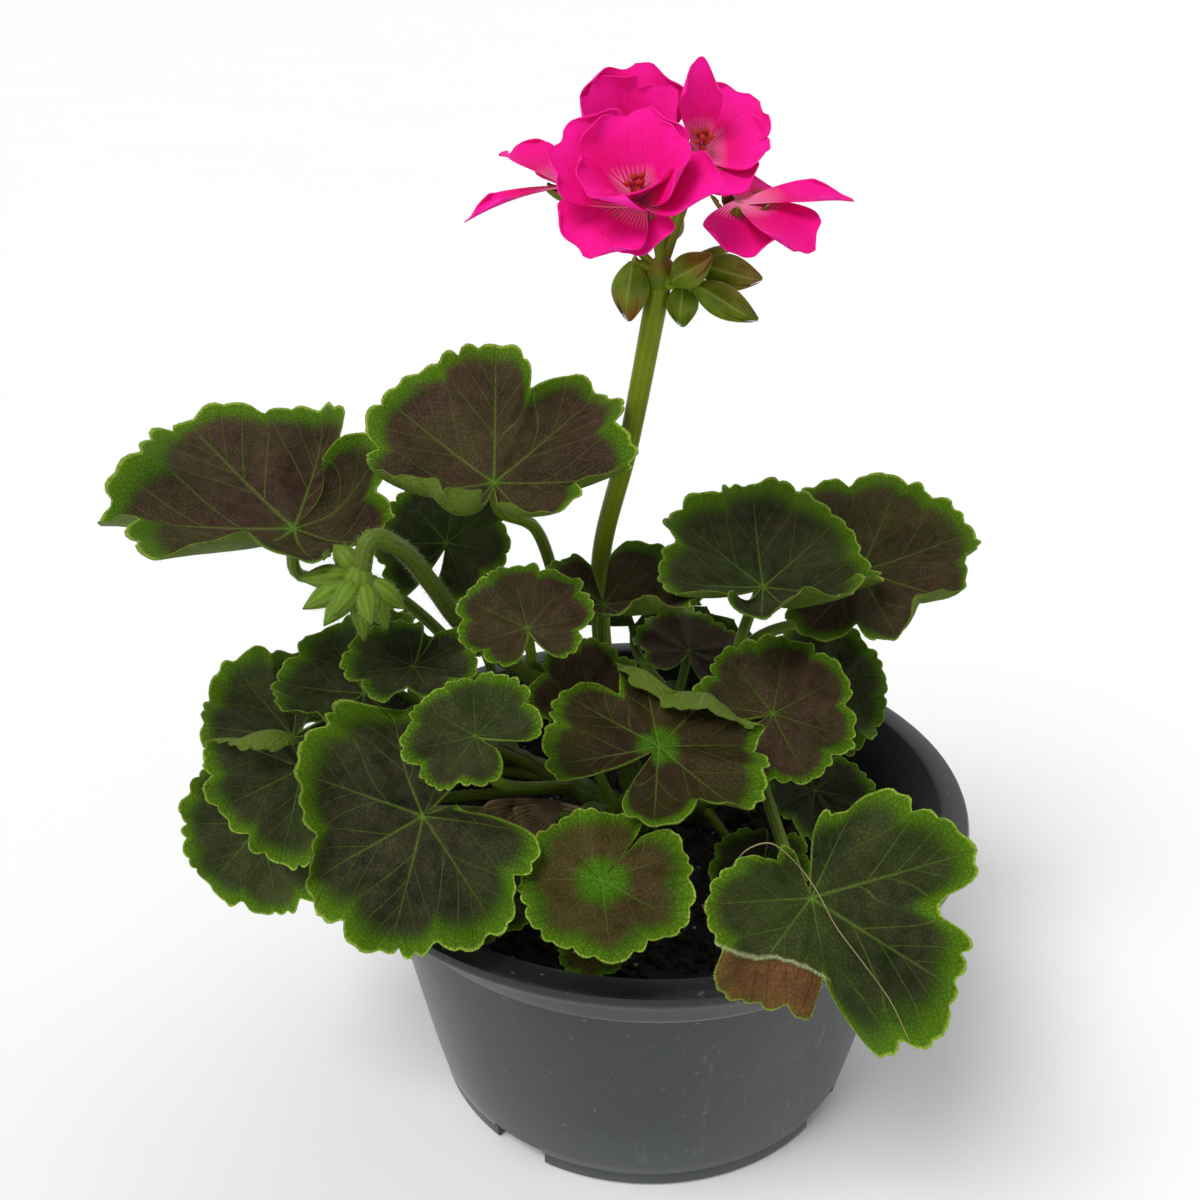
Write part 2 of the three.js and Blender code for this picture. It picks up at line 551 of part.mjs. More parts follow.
function flowerStalkSolid() {
  const parts = [stalk(PEDUNCLE, (share) => PEDUNCLE_RADIUS * (1 + 0.1 * share ** 6), 8, 6)];
  const hub = point(...HEAD);
  parts.push(budSolid([1, 0, 179], [1, 0, 187], 3.2, 6, 4));
  for (const bloom of Object.values(BLOOMS)) {
    const { face } = frameOf(bloom.lean);
    const end = point(...bloom.at).addScaledVector(face, -THROAT_DEPTH - GAP);
    const calyx = end.clone().addScaledVector(face, -5);
    const thickness = (share) => PEDICEL_RADIUS + CALYX_FLARE * share ** 8;
    parts.push(stalk([hub, point(...bloom.via), calyx, end], thickness, 6, 4));
  }
  for (const [from, to, radius] of BUDS) {
    parts.push(stalk([hub, point(...from).lerp(point(...to), 0.12)], () => 0.8, 1, 4));
    parts.push(budSolid(from, to, radius, 6, 5));
  }
  return join(parts);
}

// ---- the young bud head ------------------------------------------------------------------------
// A second stalk arches over, and a cluster of small green buds nods from its end.

const NODDING_HEAD = [-55, -24, 130.5];
const NODDING_STALK = [point(-8, 4, 80), point(-18, 6, 88), point(-32, 2, 100), point(-40, -2, 110),
  point(-45, -9, 123), point(-49, -18, 134), point(-53, -23, 137.5), point(...NODDING_HEAD)];
const YOUNG_BUDS = [
  [-12, 0, -1], [-11, -3, -6], [-7, -4, -9], [0, -2, -13], [5, -3, -10], [8, 0, -7],
  [-6, 5, 4], [-4, -8, -5], [2, 6, -8], [3, -7, -7],
];

function youngBudSolid() {
  const parts = [stalk(NODDING_STALK, (share) => 2.1 - 0.3 * share, 10, 5)];
  const head = point(...NODDING_HEAD);
  parts.push(budSolid([-55, -24, 133], [-56, -25, 125], 3, 6, 4));
  for (const offset of YOUNG_BUDS) {
    const tip = head.clone().add(point(...offset));
    const base = head.clone().lerp(tip, 0.1);
    parts.push(budSolid(base.toArray(), tip.toArray(), 2.4, 5, 3));
  }
  return join(parts);
}

// ---- the withered leaf -------------------------------------------------------------------------
// One brown, rolled leaf still hangs on the front shoot.

// rolls: its two rolled halves, each given as a petal is.
const WITHERED = { at: [-17, -30, 84], lean: [35, -60, -84],
  rolls: [[0, 5, 25, 10, 25], [14, 20, 20, 8, -10]] };

function witheredSolid() {
  const frame = frameOf(WITHERED.lean);
  const origin = point(...WITHERED.at);
  const foot = shootCurves.front.getPointAt(0.8);
  const leafstalk = stalk([foot, origin.clone().addScaledVector(frame.mid, 1)], () => 1, 2, 5);
  return join([leafstalk, ...WITHERED.rolls.map((roll) => petalSolid(origin, frame, roll))]);
}

// ---- assembly ----------------------------------------------------------------------------------

const plant = new THREE.Group();
plant.add(piece("pot", potSolid(), POT_GREY));
plant.add(piece("soil", soilSolid(), PEAT_BROWN));
plant.add(piece("stem", stemSolid(0), STEM_GREEN));
const trim = stemSolid(GAP);
for (const [name, leaf] of Object.entries(LEAVES)) {
  const frame = frameOf(leaf.lean);
  const whole = bladeSolid(leaf, frame).add(leafstalkSolid(leaf, frame)).subtract(trim);
  plant.add(piece("leaf_" + name, whole, LEAF_BRONZE));
}
plant.add(piece("flower_stalk", flowerStalkSolid().subtract(trim), STEM_GREEN));
for (const [name, bloom] of Object.entries(BLOOMS)) {
  plant.add(piece("bloom_" + name, bloomSolid(bloom), PETAL_PINK));
  if (bloom.stamens) plant.add(piece("stamens_" + name, stamenSolid(bloom), STAMEN_RED));
}
plant.add(piece("young_buds", youngBudSolid().subtract(trim), BUD_GREEN));
plant.add(piece("leaf_withered", witheredSolid().subtract(trim), DRY_BROWN));

export default plant;
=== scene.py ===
# A potted zonal geranium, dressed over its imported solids. The scene is in metres; the sizes here are in
# millimetres, and MM turns one into the other where a mesh is made. +Z is up and -Y is the plant's front.
import math

import bpy
import bmesh
import numpy as np
from mathutils import Matrix, Vector, noise


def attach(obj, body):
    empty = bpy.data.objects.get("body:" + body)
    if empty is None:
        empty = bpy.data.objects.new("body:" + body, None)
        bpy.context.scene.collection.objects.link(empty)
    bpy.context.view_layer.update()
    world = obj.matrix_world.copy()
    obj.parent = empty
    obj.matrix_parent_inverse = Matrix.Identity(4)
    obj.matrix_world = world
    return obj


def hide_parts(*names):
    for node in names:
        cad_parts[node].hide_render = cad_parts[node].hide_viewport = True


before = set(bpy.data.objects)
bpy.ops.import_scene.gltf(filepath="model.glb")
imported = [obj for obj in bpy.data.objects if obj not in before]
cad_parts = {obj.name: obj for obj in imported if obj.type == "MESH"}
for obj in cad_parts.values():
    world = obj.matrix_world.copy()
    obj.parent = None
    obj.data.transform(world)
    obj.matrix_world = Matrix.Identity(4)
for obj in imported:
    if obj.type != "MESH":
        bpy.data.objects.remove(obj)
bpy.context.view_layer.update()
MM = 0.001

# ---- the studio --------------------------------------------------------------------------------
# A wide white floor under soft light: one broad lamp high on the left, a weaker one behind, and a room that
# is pale low down and dimmer overhead. The camera stands a quarter of a metre in front and looks down.

CAMERA_PLACE = (0.0, -253.0, 233.5)
CAMERA_PITCH = 25.1  # degrees down
CAMERA_YAW = 2.4
LENS = 40.0
SENSOR = 36.0
FLOOR_SIZE = 60.0  # metres
FLOOR_DROP = 0.2  # so that no face of the pot lies in the floor
KEY_PLACE = (-0.5, -0.55, 1.1)
BACK_PLACE = (0.5, 0.6, 0.9)
OVERHEAD_GLOW = 0.36  # of the room's glow low down
GLOW_EDGES = (0.45, 0.1)  # how far up the room turns dim and pale, from -1 to 1

camera_data = bpy.data.cameras.new("camera")
camera_data.lens = LENS
camera_data.sensor_width = SENSOR
camera_data.clip_start = 0.01
camera = bpy.data.objects.new("camera", camera_data)
camera.location = Vector(CAMERA_PLACE) * MM
camera.rotation_euler = (math.radians(90 - CAMERA_PITCH), 0, math.radians(CAMERA_YAW))
bpy.context.collection.objects.link(camera)
bpy.context.scene.camera = camera
bpy.context.scene.view_settings.view_transform = "Standard"


def add_sun(name, place, strength, softness):
    """A soft distant lamp that stands over a place and faces the plant. softness is in degrees."""
    data = bpy.data.lights.new(name, "SUN")
    data.energy = strength
    data.angle = math.radians(softness)
    lamp = bpy.data.objects.new(name, data)
    lamp.location = place
    lamp.rotation_euler = (-Vector(place)).to_track_quat("-Z", "Y").to_euler()
    bpy.context.collection.objects.link(lamp)


add_sun("key_lamp", KEY_PLACE, 2.1, 30)
add_sun("back_lamp", BACK_PLACE, 0.6, 60)


class Value:
    """A shader socket that Python arithmetic builds on."""

    def __init__(self, graph, socket):
        self.graph = graph
        self.socket = socket

    def math(self, operation, *others):
        return self.graph.node("ShaderNodeMath", {"operation": operation}, dict(enumerate((self, *others))))

    def __add__(self, other):
        return self.math("ADD", other)

    def __sub__(self, other):
        return self.math("SUBTRACT", other)

    def __mul__(self, other):
        return self.math("MULTIPLY", other)

    def __truediv__(self, other):
        return self.math("DIVIDE", other)

    def __gt__(self, other):
        return self.math("GREATER_THAN", other)

    __radd__ = __add__
    __rmul__ = __mul__

    def __rsub__(self, other):
        return self.graph.node("ShaderNodeMath", {"operation": "SUBTRACT"}, {0: other, 1: self})

    def __abs__(self):
        return self.math("ABSOLUTE")

    def fract(self):
        return self.math("FRACT")

    def clamp(self):
        return self.graph.node("ShaderNodeClamp", {}, {0: self})

    def ramp(self, low, high, kind="LINEAR"):
        """0 at low, 1 at high, and straight between them. low may be the greater of the two."""
        return self.graph.node("ShaderNodeMapRange", {"interpolation_type": kind}, {0: self, 1: low, 2: high})

    def soft_ramp(self, low, high):
        """A ramp that starts and ends gently."""
        return self.ramp(low, high, "SMOOTHSTEP")

    def ridges(self):
        """1 at each whole value, 0 half way between, and straight slopes."""
        return abs(self.fract() - 0.5) * 2


class Graph:
    """A node tree that is written as Python."""

    def __init__(self, tree):
        self.tree = tree

    def put(self, socket, value):
        if isinstance(value, Value):
            self.tree.links.new(value.socket, socket)
        elif socket.type == "RGBA":
            socket.default_value = (*value[:3], 1)
        else:
            socket.default_value = value

    def node(self, kind, settings, inputs, output=0):
        node = self.tree.nodes.new(kind)
        for setting, value in settings.items():
            setattr(node, setting, value)
        for socket, value in inputs.items():
            self.put(node.inputs[socket], value)
        return Value(self, node.outputs[output])


class Finish(Graph):
    """A material. fixed holds the sockets whose value is the same all over the surface."""

    def __init__(self, name, fixed):
        self.material = bpy.data.materials.new(name)
        self.material.use_nodes = True
        super().__init__(self.material.node_tree)
        self.surface = self.tree.nodes["Principled BSDF"].inputs
        for socket, value in fixed.items():
            self.put(self.surface[socket], value)

    def place(self, stretch=(1, 1, 1)):
        """The object's own coordinates, in metres, stretched."""
        whole = self.node("ShaderNodeTexCoord", {}, {}, "Object")
        return self.node("ShaderNodeMapping", {}, {"Vector": whole, "Scale": stretch})

    def noise(self, scale, detail=3, stretch=(1, 1, 1)):
        """Cloudy noise. scale is in features to a metre."""
        inputs = {"Vector": self.place(stretch), "Scale": scale, "Detail": detail}
        return self.node("ShaderNodeTexNoise", {}, inputs)

    def net(self, scale, width):
        """Lines of a width, in cells, round irregular cells. scale is in cells to a metre."""
        inputs = {"Vector": self.place(), "Scale": scale}
        settings = {"feature": "DISTANCE_TO_EDGE"}
        return self.node("ShaderNodeTexVoronoi", settings, inputs, "Distance").ramp(width, 0)

    def own(self, axis):
        """X or Y of the piece's own map of its surface."""
        own_map = self.node("ShaderNodeUVMap", {"uv_map": "surface"}, {})
        return self.node("ShaderNodeSeparateXYZ", {}, {0: own_map}, axis)

    def mix(self, share, a, b):
        return self.node("ShaderNodeMix", {"data_type": "RGBA"}, {0: share, 6: a, 7: b}, 2)

    def wear(self, color, roughness, height, depth):
        """Joins the surface's colour, roughness and relief. height is a share of depth, in millimetres."""
        self.put(self.surface["Base Color"], color)
        self.put(self.surface["Roughness"], roughness)
        relief = self.node("ShaderNodeBump", {}, {"Height": height, "Distance": depth * MM})
        self.put(self.surface["Normal"], relief)


room = bpy.data.worlds.new("room")
room.use_nodes = True
bpy.context.scene.world = room
walls = Graph(room.node_tree)
sight = walls.node("ShaderNodeTexCoord", {}, {}, "Generated")
pale = walls.node("ShaderNodeSeparateXYZ", {}, {0: sight}, "Z").soft_ramp(*GLOW_EDGES)
glow = {"Color": (1, 1, 1), "Strength": pale * (1 - OVERHEAD_GLOW) + OVERHEAD_GLOW}
backdrop = walls.node("ShaderNodeBackground", {}, glow)
room.node_tree.links.new(backdrop.socket, room.node_tree.nodes["World Output"].inputs["Surface"])

bpy.ops.mesh.primitive_plane_add(size=FLOOR_SIZE, location=(0, 0, -FLOOR_DROP * MM))
floor = bpy.context.object
floor.name = "floor"
sweep = Finish("white_sweep", {})
sweep.wear(sweep.mix(sweep.noise(3), (0.9, 0.9, 0.9), (0.93, 0.93, 0.93)), 0.8, sweep.noise(40), 0.1)
floor.data.materials.append(sweep.material)

# ---- the pot -----------------------------------------------------------------------------------
# A shallow 14 cm nursery pot, injection moulded in dark grey plastic: a drafted wall, a collar over a small
# ledge, a flat lip, and a foot ring with drainage notches into a channel round the middle of the base.

POT_HEIGHT = 70
LIP_RADIUS = 70
LIP_WIDTH = 5
LIP_DROP = 3
FOOT_RADIUS = 48.5
COLLAR_RADIUS = 60
COLLAR_HEIGHT = 56
COLLAR_SLOPE = 0.38
POT_WALL = 1.4
CHANNEL_RADIUS = 32
CHANNEL_DEPTH = 4
NOTCH_SIZE = Vector((14, 13, 10))
NOTCH_REACH = 50.5
HOLE_REACH = 38.5
NOTCH_TURN = -123
LIP_SHADE = 66  # height over which the lip is darkened with painted shade
HOLE_RADIUS = 3.5
HOLE_DEPTH = 12
POT_TURNS = 192
DUST_TOP = 26
PLASTIC_DARK, PLASTIC_PALE = (0.004, 0.0075, 0.0085), (0.012, 0.018, 0.0195)
DUST_GREY = (0.075, 0.085, 0.084)
PAINTED_INSIDE_SHADE = (0.0015, 0.0018, 0.002)
COLLAR_PAINTED_SHADE = (0.004, 0.006, 0.006)
LIP_PAINTED_SHADE = (0.002, 0.003, 0.003)
SCUFF_AND_HIGHLIGHT_GREY = (0.24, 0.26, 0.25)


def patch(points, faces, own, slot, cover):
    """A stretch of surface: points in millimetres, faces, its own map, its material, and how thickly
    small things cover it, from 0 to 1."""
    points = np.asarray(points, dtype=float).reshape(-1, 3)
    cover = np.broadcast_to(np.asarray(cover, dtype=float).ravel(), len(points))
    return points, faces, np.asarray(own, dtype=float).reshape(-1, 2), slot, cover


def grid_faces(rows, columns, flip=False):
    """Quads between rows of points that are all of one length."""
    faces = []
    for i in range(rows - 1):
        for j in range(columns - 1):
            a = i * columns + j
            quad = (a, a + 1, a + columns + 1, a + columns)
            faces.append(quad[::-1] if flip else quad)
    return faces


def grid_patch(rows, own, slot=0, cover=0.0):
    """The surface between rows of points."""
    rows = np.asarray(rows, dtype=float)
    return patch(rows, grid_faces(*rows.shape[:2]), own, slot, cover)


def make_piece(name, patches, finishes, sharp=40):
    """One object of several patches, with its seams closed."""
    starts = np.cumsum([0] + [len(points) for points, *_ in patches])
    faces = [[corner + start for corner in face] for start, p in zip(starts, patches) for face in p[1]]
    mesh = bpy.data.meshes.new(name)
    mesh.from_pydata((np.concatenate([p[0] for p in patches]) * MM).tolist(), [], faces)
    corners = np.empty(len(mesh.loops), dtype=int)
    mesh.loops.foreach_get("vertex_index", corners)
    own = np.concatenate([p[2] for p in patches])[corners]
    mesh.uv_layers.new(name="surface").data.foreach_set("uv", own.ravel())
    mesh.polygons.foreach_set("material_index", [p[3] for p in patches for _ in p[1]])
    cover = mesh.attributes.new("cover", "FLOAT", "POINT")
    cover.data.foreach_set("value", np.concatenate([p[4] for p in patches]))
    for finish in finishes:
        mesh.materials.append(finish.material)
    seams = bmesh.new()
    seams.from_mesh(mesh)
    bmesh.ops.remove_doubles(seams, verts=seams.verts, dist=1e-6)
    seams.to_mesh(mesh)
    seams.free()
    mesh.shade_smooth()
    mesh.set_sharp_from_angle(angle=math.radians(sharp))
    thing = bpy.data.objects.new(name, mesh)
    bpy.context.collection.objects.link(thing)
    return thing


def keep_modified(thing):
    """Makes what the modifiers show the piece's own mesh."""
    mesh = bpy.data.meshes.new_from_object(thing.evaluated_get(bpy.context.evaluated_depsgraph_get()))
    thing.modifiers.clear()
    thing.data = mesh


def lathe_rows(profile, turns):
    """Rows of points of a profile of (radius, height) round Z, and their own map."""
    angles = np.linspace(0, 2 * math.pi, turns + 1)
    rows = [[(r * math.cos(a), r * math.sin(a), z) for a in angles] for r, z in profile]
    own = [[(a / (2 * math.pi), z / POT_HEIGHT) for a in angles] for _, z in profile]
    return rows, own


plastic = Finish("pot_plastic", {"Specular IOR Level": 0.55, "Sheen Weight": 0.12, "Sheen Roughness": 0.4})
haze = plastic.noise(16, 4)
streaks = plastic.noise(70, 4, (1, 1, 0.35))
specks = plastic.noise(900, 2).ramp(0.671, 0.814)
scratches = plastic.noise(420, 3, (1, 1, 0.1)).ramp(0.6, 0.767) * haze.ramp(0.5, 0.625)
rise = plastic.node("ShaderNodeSeparateXYZ", {}, {0: plastic.place()}, "Z") / MM
dust = rise.soft_ramp(DUST_TOP, 0) * streaks * 0.6
# Painted highlight: a thin light line round the pot at the ledge under the collar, broken up by the haze.
ledge_highlight = abs(rise - COLLAR_HEIGHT).ramp(0.5, 0) * haze.ramp(0.35, 0.6)
level_place = {0: plastic.place((1, 1, 0))}
from_axis = plastic.node("ShaderNodeVectorMath", {"operation": "LENGTH"}, level_place, "Value") / MM
mid_wall = (rise - COLLAR_HEIGHT) * COLLAR_SLOPE + (COLLAR_RADIUS - 0.5 * POT_WALL)
# Painted shade: the plastic inside the wall is made near black, as the shade in the pot's hollow.
inside = (mid_wall - from_axis).clamp()
tone = plastic.mix(haze, PLASTIC_DARK, PLASTIC_PALE)
tone = plastic.mix(dust, tone, DUST_GREY)
tone = plastic.mix(inside, tone, PAINTED_INSIDE_SHADE)
# Painted shade: the collar above the ledge is darkened, where its outward flare would otherwise catch more
# light.
tone = plastic.mix((rise - COLLAR_HEIGHT).clamp() * 0.5, tone, COLLAR_PAINTED_SHADE)
# Painted shade: the top of the lip is darkened further, nearly to black.
tone = plastic.mix((rise - LIP_SHADE).clamp() * 0.75, tone, LIP_PAINTED_SHADE)
# Specks and scratches are marks on the plastic; the ledge line mixed in with them is a painted highlight.
scuffs_and_highlight = specks * 0.5 + scratches * 0.35 + ledge_highlight * 0.8
tone = plastic.mix(scuffs_and_highlight.clamp(), tone, SCUFF_AND_HIGHLIGHT_GREY)
satin = haze * 0.14 + streaks * 0.16 + specks * 0.15 + inside * 0.2 + 0.27
plastic.wear(tone, satin, plastic.noise(1800, 2) + streaks, 0.04)

inner_lip = LIP_RADIUS - LIP_WIDTH
pot_profile = [
    (0, 0), (CHANNEL_RADIUS, 0), (CHANNEL_RADIUS + 1, CHANNEL_DEPTH), (FOOT_RADIUS - 3.5, CHANNEL_DEPTH),
    (FOOT_RADIUS - 2.5, 0), (FOOT_RADIUS - 0.6, 0), (FOOT_RADIUS, 0.8), (FOOT_RADIUS, 3.5),
    (FOOT_RADIUS + 0.7, 4.2), (FOOT_RADIUS + 1.3, 6.8), (FOOT_RADIUS + 2.5, 12.1),
    (COLLAR_RADIUS - 0.6, COLLAR_HEIGHT - 0.8), (COLLAR_RADIUS + 0.4, COLLAR_HEIGHT),
    (inner_lip - 0.6, POT_HEIGHT - LIP_DROP), (LIP_RADIUS - 0.8, POT_HEIGHT - LIP_DROP),
    (LIP_RADIUS - 0.1, POT_HEIGHT - 2), (LIP_RADIUS, POT_HEIGHT - 1.2), (LIP_RADIUS - 0.4, POT_HEIGHT - 0.3),
    (LIP_RADIUS - 1.2, POT_HEIGHT), (inner_lip, POT_HEIGHT), (inner_lip - 0.8, POT_HEIGHT - 0.3),
    (inner_lip - 1.2, POT_HEIGHT - 1.2), (COLLAR_RADIUS - POT_WALL, COLLAR_HEIGHT - 1),
    (FOOT_RADIUS - POT_WALL, CHANNEL_DEPTH + 2 * POT_WALL), (CHANNEL_RADIUS + 1, CHANNEL_DEPTH + POT_WALL),
    (CHANNEL_RADIUS - 1, POT_WALL), (0, POT_WALL),
]
pot = make_piece("nursery_pot", [grid_patch(*lathe_rows(pot_profile, POT_TURNS))], [plastic])
drains = bmesh.new()
for quarter in range(4):
    heading = Matrix.Rotation(math.radians(NOTCH_TURN + 90 * quarter), 4, "Z")
    notch = heading @ Matrix.Translation((NOTCH_REACH * MM, 0, 0)) @ Matrix.Diagonal((*NOTCH_SIZE * MM, 1))
    hole = heading @ Matrix.Translation((HOLE_REACH * MM, 0, CHANNEL_DEPTH * MM))
    bmesh.ops.create_cube(drains, size=1, matrix=notch)
    bmesh.ops.create_cone(drains, cap_ends=True, segments=32, radius1=HOLE_RADIUS * MM,
                          radius2=HOLE_RADIUS * MM, depth=HOLE_DEPTH * MM, matrix=hole)
cutter_mesh = bpy.data.meshes.new("drains")
drains.to_mesh(cutter_mesh)
drains.free()
cutter = bpy.data.objects.new("drains", cutter_mesh)
bpy.context.collection.objects.link(cutter)
boolean = pot.modifiers.new("drains", "BOOLEAN")
boolean.object = cutter
keep_modified(pot)
bpy.data.objects.remove(cutter)
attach(pot, "root")
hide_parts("pot")

# ---- the soil ----------------------------------------------------------------------------------
# Damp black potting mix, filled to a finger's width below the lip: fine peat with bark crumbs, and a few
# pale grains. It settles in lumps, and meets the wall a little lower.

SOIL_TOP = 56
SOIL_RADIUS = COLLAR_RADIUS - POT_WALL - 1
SOIL_FLOOR = CHANNEL_DEPTH + 2 * POT_WALL + 0.3
SOIL_TURNS = 160
SOIL_RINGS = 56
LUMP_HEIGHT = 2.2
LUMP_SIZE = 11
BARE_EDGE = 0.95  # no crumb lies outside this share of the radius
EDGE_DROP = 2
CRUMBS = 0.1  # a square millimetre
GRAINS = 0.012
CRUMB_TILT = 1.5
PEAT_DARK, PEAT_PALE, PEAT_FLECK = (0.002, 0.0015, 0.0015), (0.015, 0.010, 0.008), (0.12, 0.09, 0.06)
BARK_DARK, BARK_PALE = (0.004, 0.003, 0.002), (0.03, 0.018, 0.012)
GRAIN_DARK, GRAIN_PALE = (0.16, 0.14, 0.11), (0.45, 0.43, 0.38)


def scatter_tree(name, shape, shape_inputs):
    """A tree that sets copies of a small shape over a piece, as thickly as its cover attribute says."""
    tree = bpy.data.node_groups.new(name, "GeometryNodeTree")
    graph = Graph(tree)
    sockets = [("Geometry", "Geometry"), ("Material", "Material"), ("Density", "Float"), ("Seed", "Int"),
               ("Smallest", "Float"), ("Largest", "Float"), ("Width", "Float"), ("Tilt", "Float")]
    for label, kind in sockets:
        tree.interface.new_socket(label, in_out="INPUT", socket_type="NodeSocket" + kind)
    tree.interface.new_socket("Geometry", in_out="OUTPUT", socket_type="NodeSocketGeometry")
    given = tree.nodes.new("NodeGroupInput").outputs
    size = {label: Value(graph, given[label]) for label, _ in sockets}
    cover = graph.node("GeometryNodeInputNamedAttribute", {"data_type": "FLOAT"}, {"Name": "cover"})
    spread = {"Mesh": size["Geometry"], "Density": size["Density"] * cover, "Seed": size["Seed"]}
    points = graph.node("GeometryNodeDistributePointsOnFaces", {}, spread)
    outward = Value(graph, points.socket.node.outputs["Rotation"])
    low = graph.node("ShaderNodeCombineXYZ", {}, {axis: 0 - size["Tilt"] for axis in "XYZ"})
    high = graph.node("ShaderNodeCombineXYZ", {}, {axis: size["Tilt"] for axis in "XYZ"})
    lean = graph.node("FunctionNodeRandomValue", {"data_type": "FLOAT_VECTOR"}, {0: low, 1: high})
    turned = graph.node("FunctionNodeRotateRotation", {"rotation_space": "LOCAL"}, {0: outward, 1: lean})
    lengths = {2: size["Smallest"], 3: size["Largest"], "Seed": 3}
    length = graph.node("FunctionNodeRandomValue", {}, lengths, 1)
    width = length * size["Width"]
    scale = graph.node("ShaderNodeCombineXYZ", {}, {"X": width, "Y": width, "Z": length})
    single = graph.node(shape, {}, shape_inputs)
    copies = {"Points": points, "Instance": single, "Rotation": turned, "Scale": scale}
    placed = graph.node("GeometryNodeInstanceOnPoints", {}, copies)
    made = graph.node("GeometryNodeRealizeInstances", {}, {0: placed})
    painted = graph.node("GeometryNodeSetMaterial", {}, {"Geometry": made, "Material": size["Material"]})
    whole = tree.nodes.new("GeometryNodeJoinGeometry")
    tree.links.new(painted.socket, whole.inputs[0])
    tree.links.new(given["Geometry"], whole.inputs[0])
    tree.links.new(whole.outputs[0], tree.nodes.new("NodeGroupOutput").inputs[0])
    return tree


def scatter(thing, tree, finish, density, smallest, largest, width, tilt, seed):
    """Covers a piece with small copies: density to a square millimetre, sizes in millimetres."""
    values = {"Material": finish.material, "Density": density / MM**2, "Smallest": smallest * MM,
              "Largest": largest * MM, "Width": width, "Tilt": tilt, "Seed": seed}
    modifier = thing.modifiers.new(tree.name, "NODES")
    modifier.node_group = tree
    for item in tree.interface.items_tree:
        if item.name in values:
            modifier[item.identifier] = values[item.name]
    keep_modified(thing)


def lumps(x, y):
    """The height of the soil over its level, from 0 to about 1 either way."""
    coarse = noise.noise(Vector((x, y, 0)) / LUMP_SIZE)
    fine = noise.noise(Vector((x, y, 7)) / (0.22 * LUMP_SIZE))
    return coarse + 0.4 * fine + 0.2 * noise.noise(Vector((x, y, 3)) / (0.08 * LUMP_SIZE))


def mottled_finish(name, scale, detail, dark, pale, roughness, depth, gloss=0.5):
    """A rough skin of one cloudy tone, in relief."""
    finish = Finish(name, {"Specular IOR Level": gloss})
    cloud = finish.noise(scale, detail)
    finish.wear(finish.mix(cloud, dark, pale), roughness, cloud, depth)
    return finish


peat = Finish("peat", {"Specular IOR Level": 0.3})
clods = peat.noise(700, 5)
damp = peat.noise(60, 2)
fleck = peat.noise(1500, 2).ramp(0.66, 0.743)
loam = peat.mix(clods, PEAT_DARK, PEAT_PALE)
peat.wear(peat.mix(fleck * 0.5, loam, PEAT_FLECK), 0.95 - damp * 0.3, clods, 1.2)
bark = mottled_finish("bark_crumbs", 1200, 4, BARK_DARK, BARK_PALE, 0.9, 0.4, 0.3)
chalk = mottled_finish("pale_grains", 2500, 3, GRAIN_DARK, GRAIN_PALE, 0.9, 0.2)

soil_sides = [(0, SOIL_FLOOR), (FOOT_RADIUS - POT_WALL - 2, SOIL_FLOOR), (SOIL_RADIUS, SOIL_TOP - 3)]
soil_shares = np.linspace(1, 0, SOIL_RINGS)
soil_profile = soil_sides + [(SOIL_RADIUS * share, SOIL_TOP) for share in soil_shares]
soil_rows, soil_own = lathe_rows(soil_profile, SOIL_TURNS)
soil_rows = np.array(soil_rows)
is_open = np.zeros(soil_rows.shape[:2])
for ring, soil_share in enumerate(soil_shares, len(soil_sides)):
    is_open[ring] = soil_share < BARE_EDGE
    for spot in soil_rows[ring]:
        spot[2] += LUMP_HEIGHT * lumps(spot[0], spot[1]) - EDGE_DROP * soil_share**8
soil = make_piece("potting_mix", [grid_patch(soil_rows, soil_own, 0, is_open)], [peat], 80)
crumb_tree = scatter_tree("crumbs", "GeometryNodeMeshIcoSphere", {"Radius": 1, "Subdivisions": 1})
scatter(soil, crumb_tree, bark, CRUMBS, 0.4, 1.5, 1.3, CRUMB_TILT, 4)
scatter(soil, crumb_tree, chalk, GRAINS, 0.25, 0.6, 1.1, CRUMB_TILT, 9)
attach(soil, "root")
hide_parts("soil")

# ---- the stem ----------------------------------------------------------------------------------
# A fleshy trunk that stands in the soil and forks into five green shoots with brown corky patches. They are
# swollen at the joints where leafstalks grow, and covered with fine white hairs.

TRUNK = [(0, 2, 36), (0, 2, 50), (0, 2, 60)]
TRUNK_RADIUS = 4.6
TRUNK_FOOT_RADIUS = 5.2
SHOOT_RADIUS = 3.2
SHOOT_TIP_RADIUS = 2.2
SHOOTS = {
    "left": [(0, 2, 58), (-14, 0, 67), (-34, -3, 80)],
    "front": [(0, 2, 58), (-4, -9, 65), (-12, -24, 78)],
    "right": [(0, 2, 58), (12, -1, 66), (28, -6, 80)],
    "middle": [(0, 2, 58), (-5, 4, 74), (-16, 6, 98)],
    "back": [(0, 2, 58), (3, 12, 66), (6, 28, 80)],
}
JOINTS = (0.25, 0.42, 0.57, 0.7, 0.82, 0.93)
JOINT_SWELL = 0.16
JOINT_LENGTH = 0.035  # a share of the shoot's
STALK_RIBS = 9
CURVE_STEPS = 40


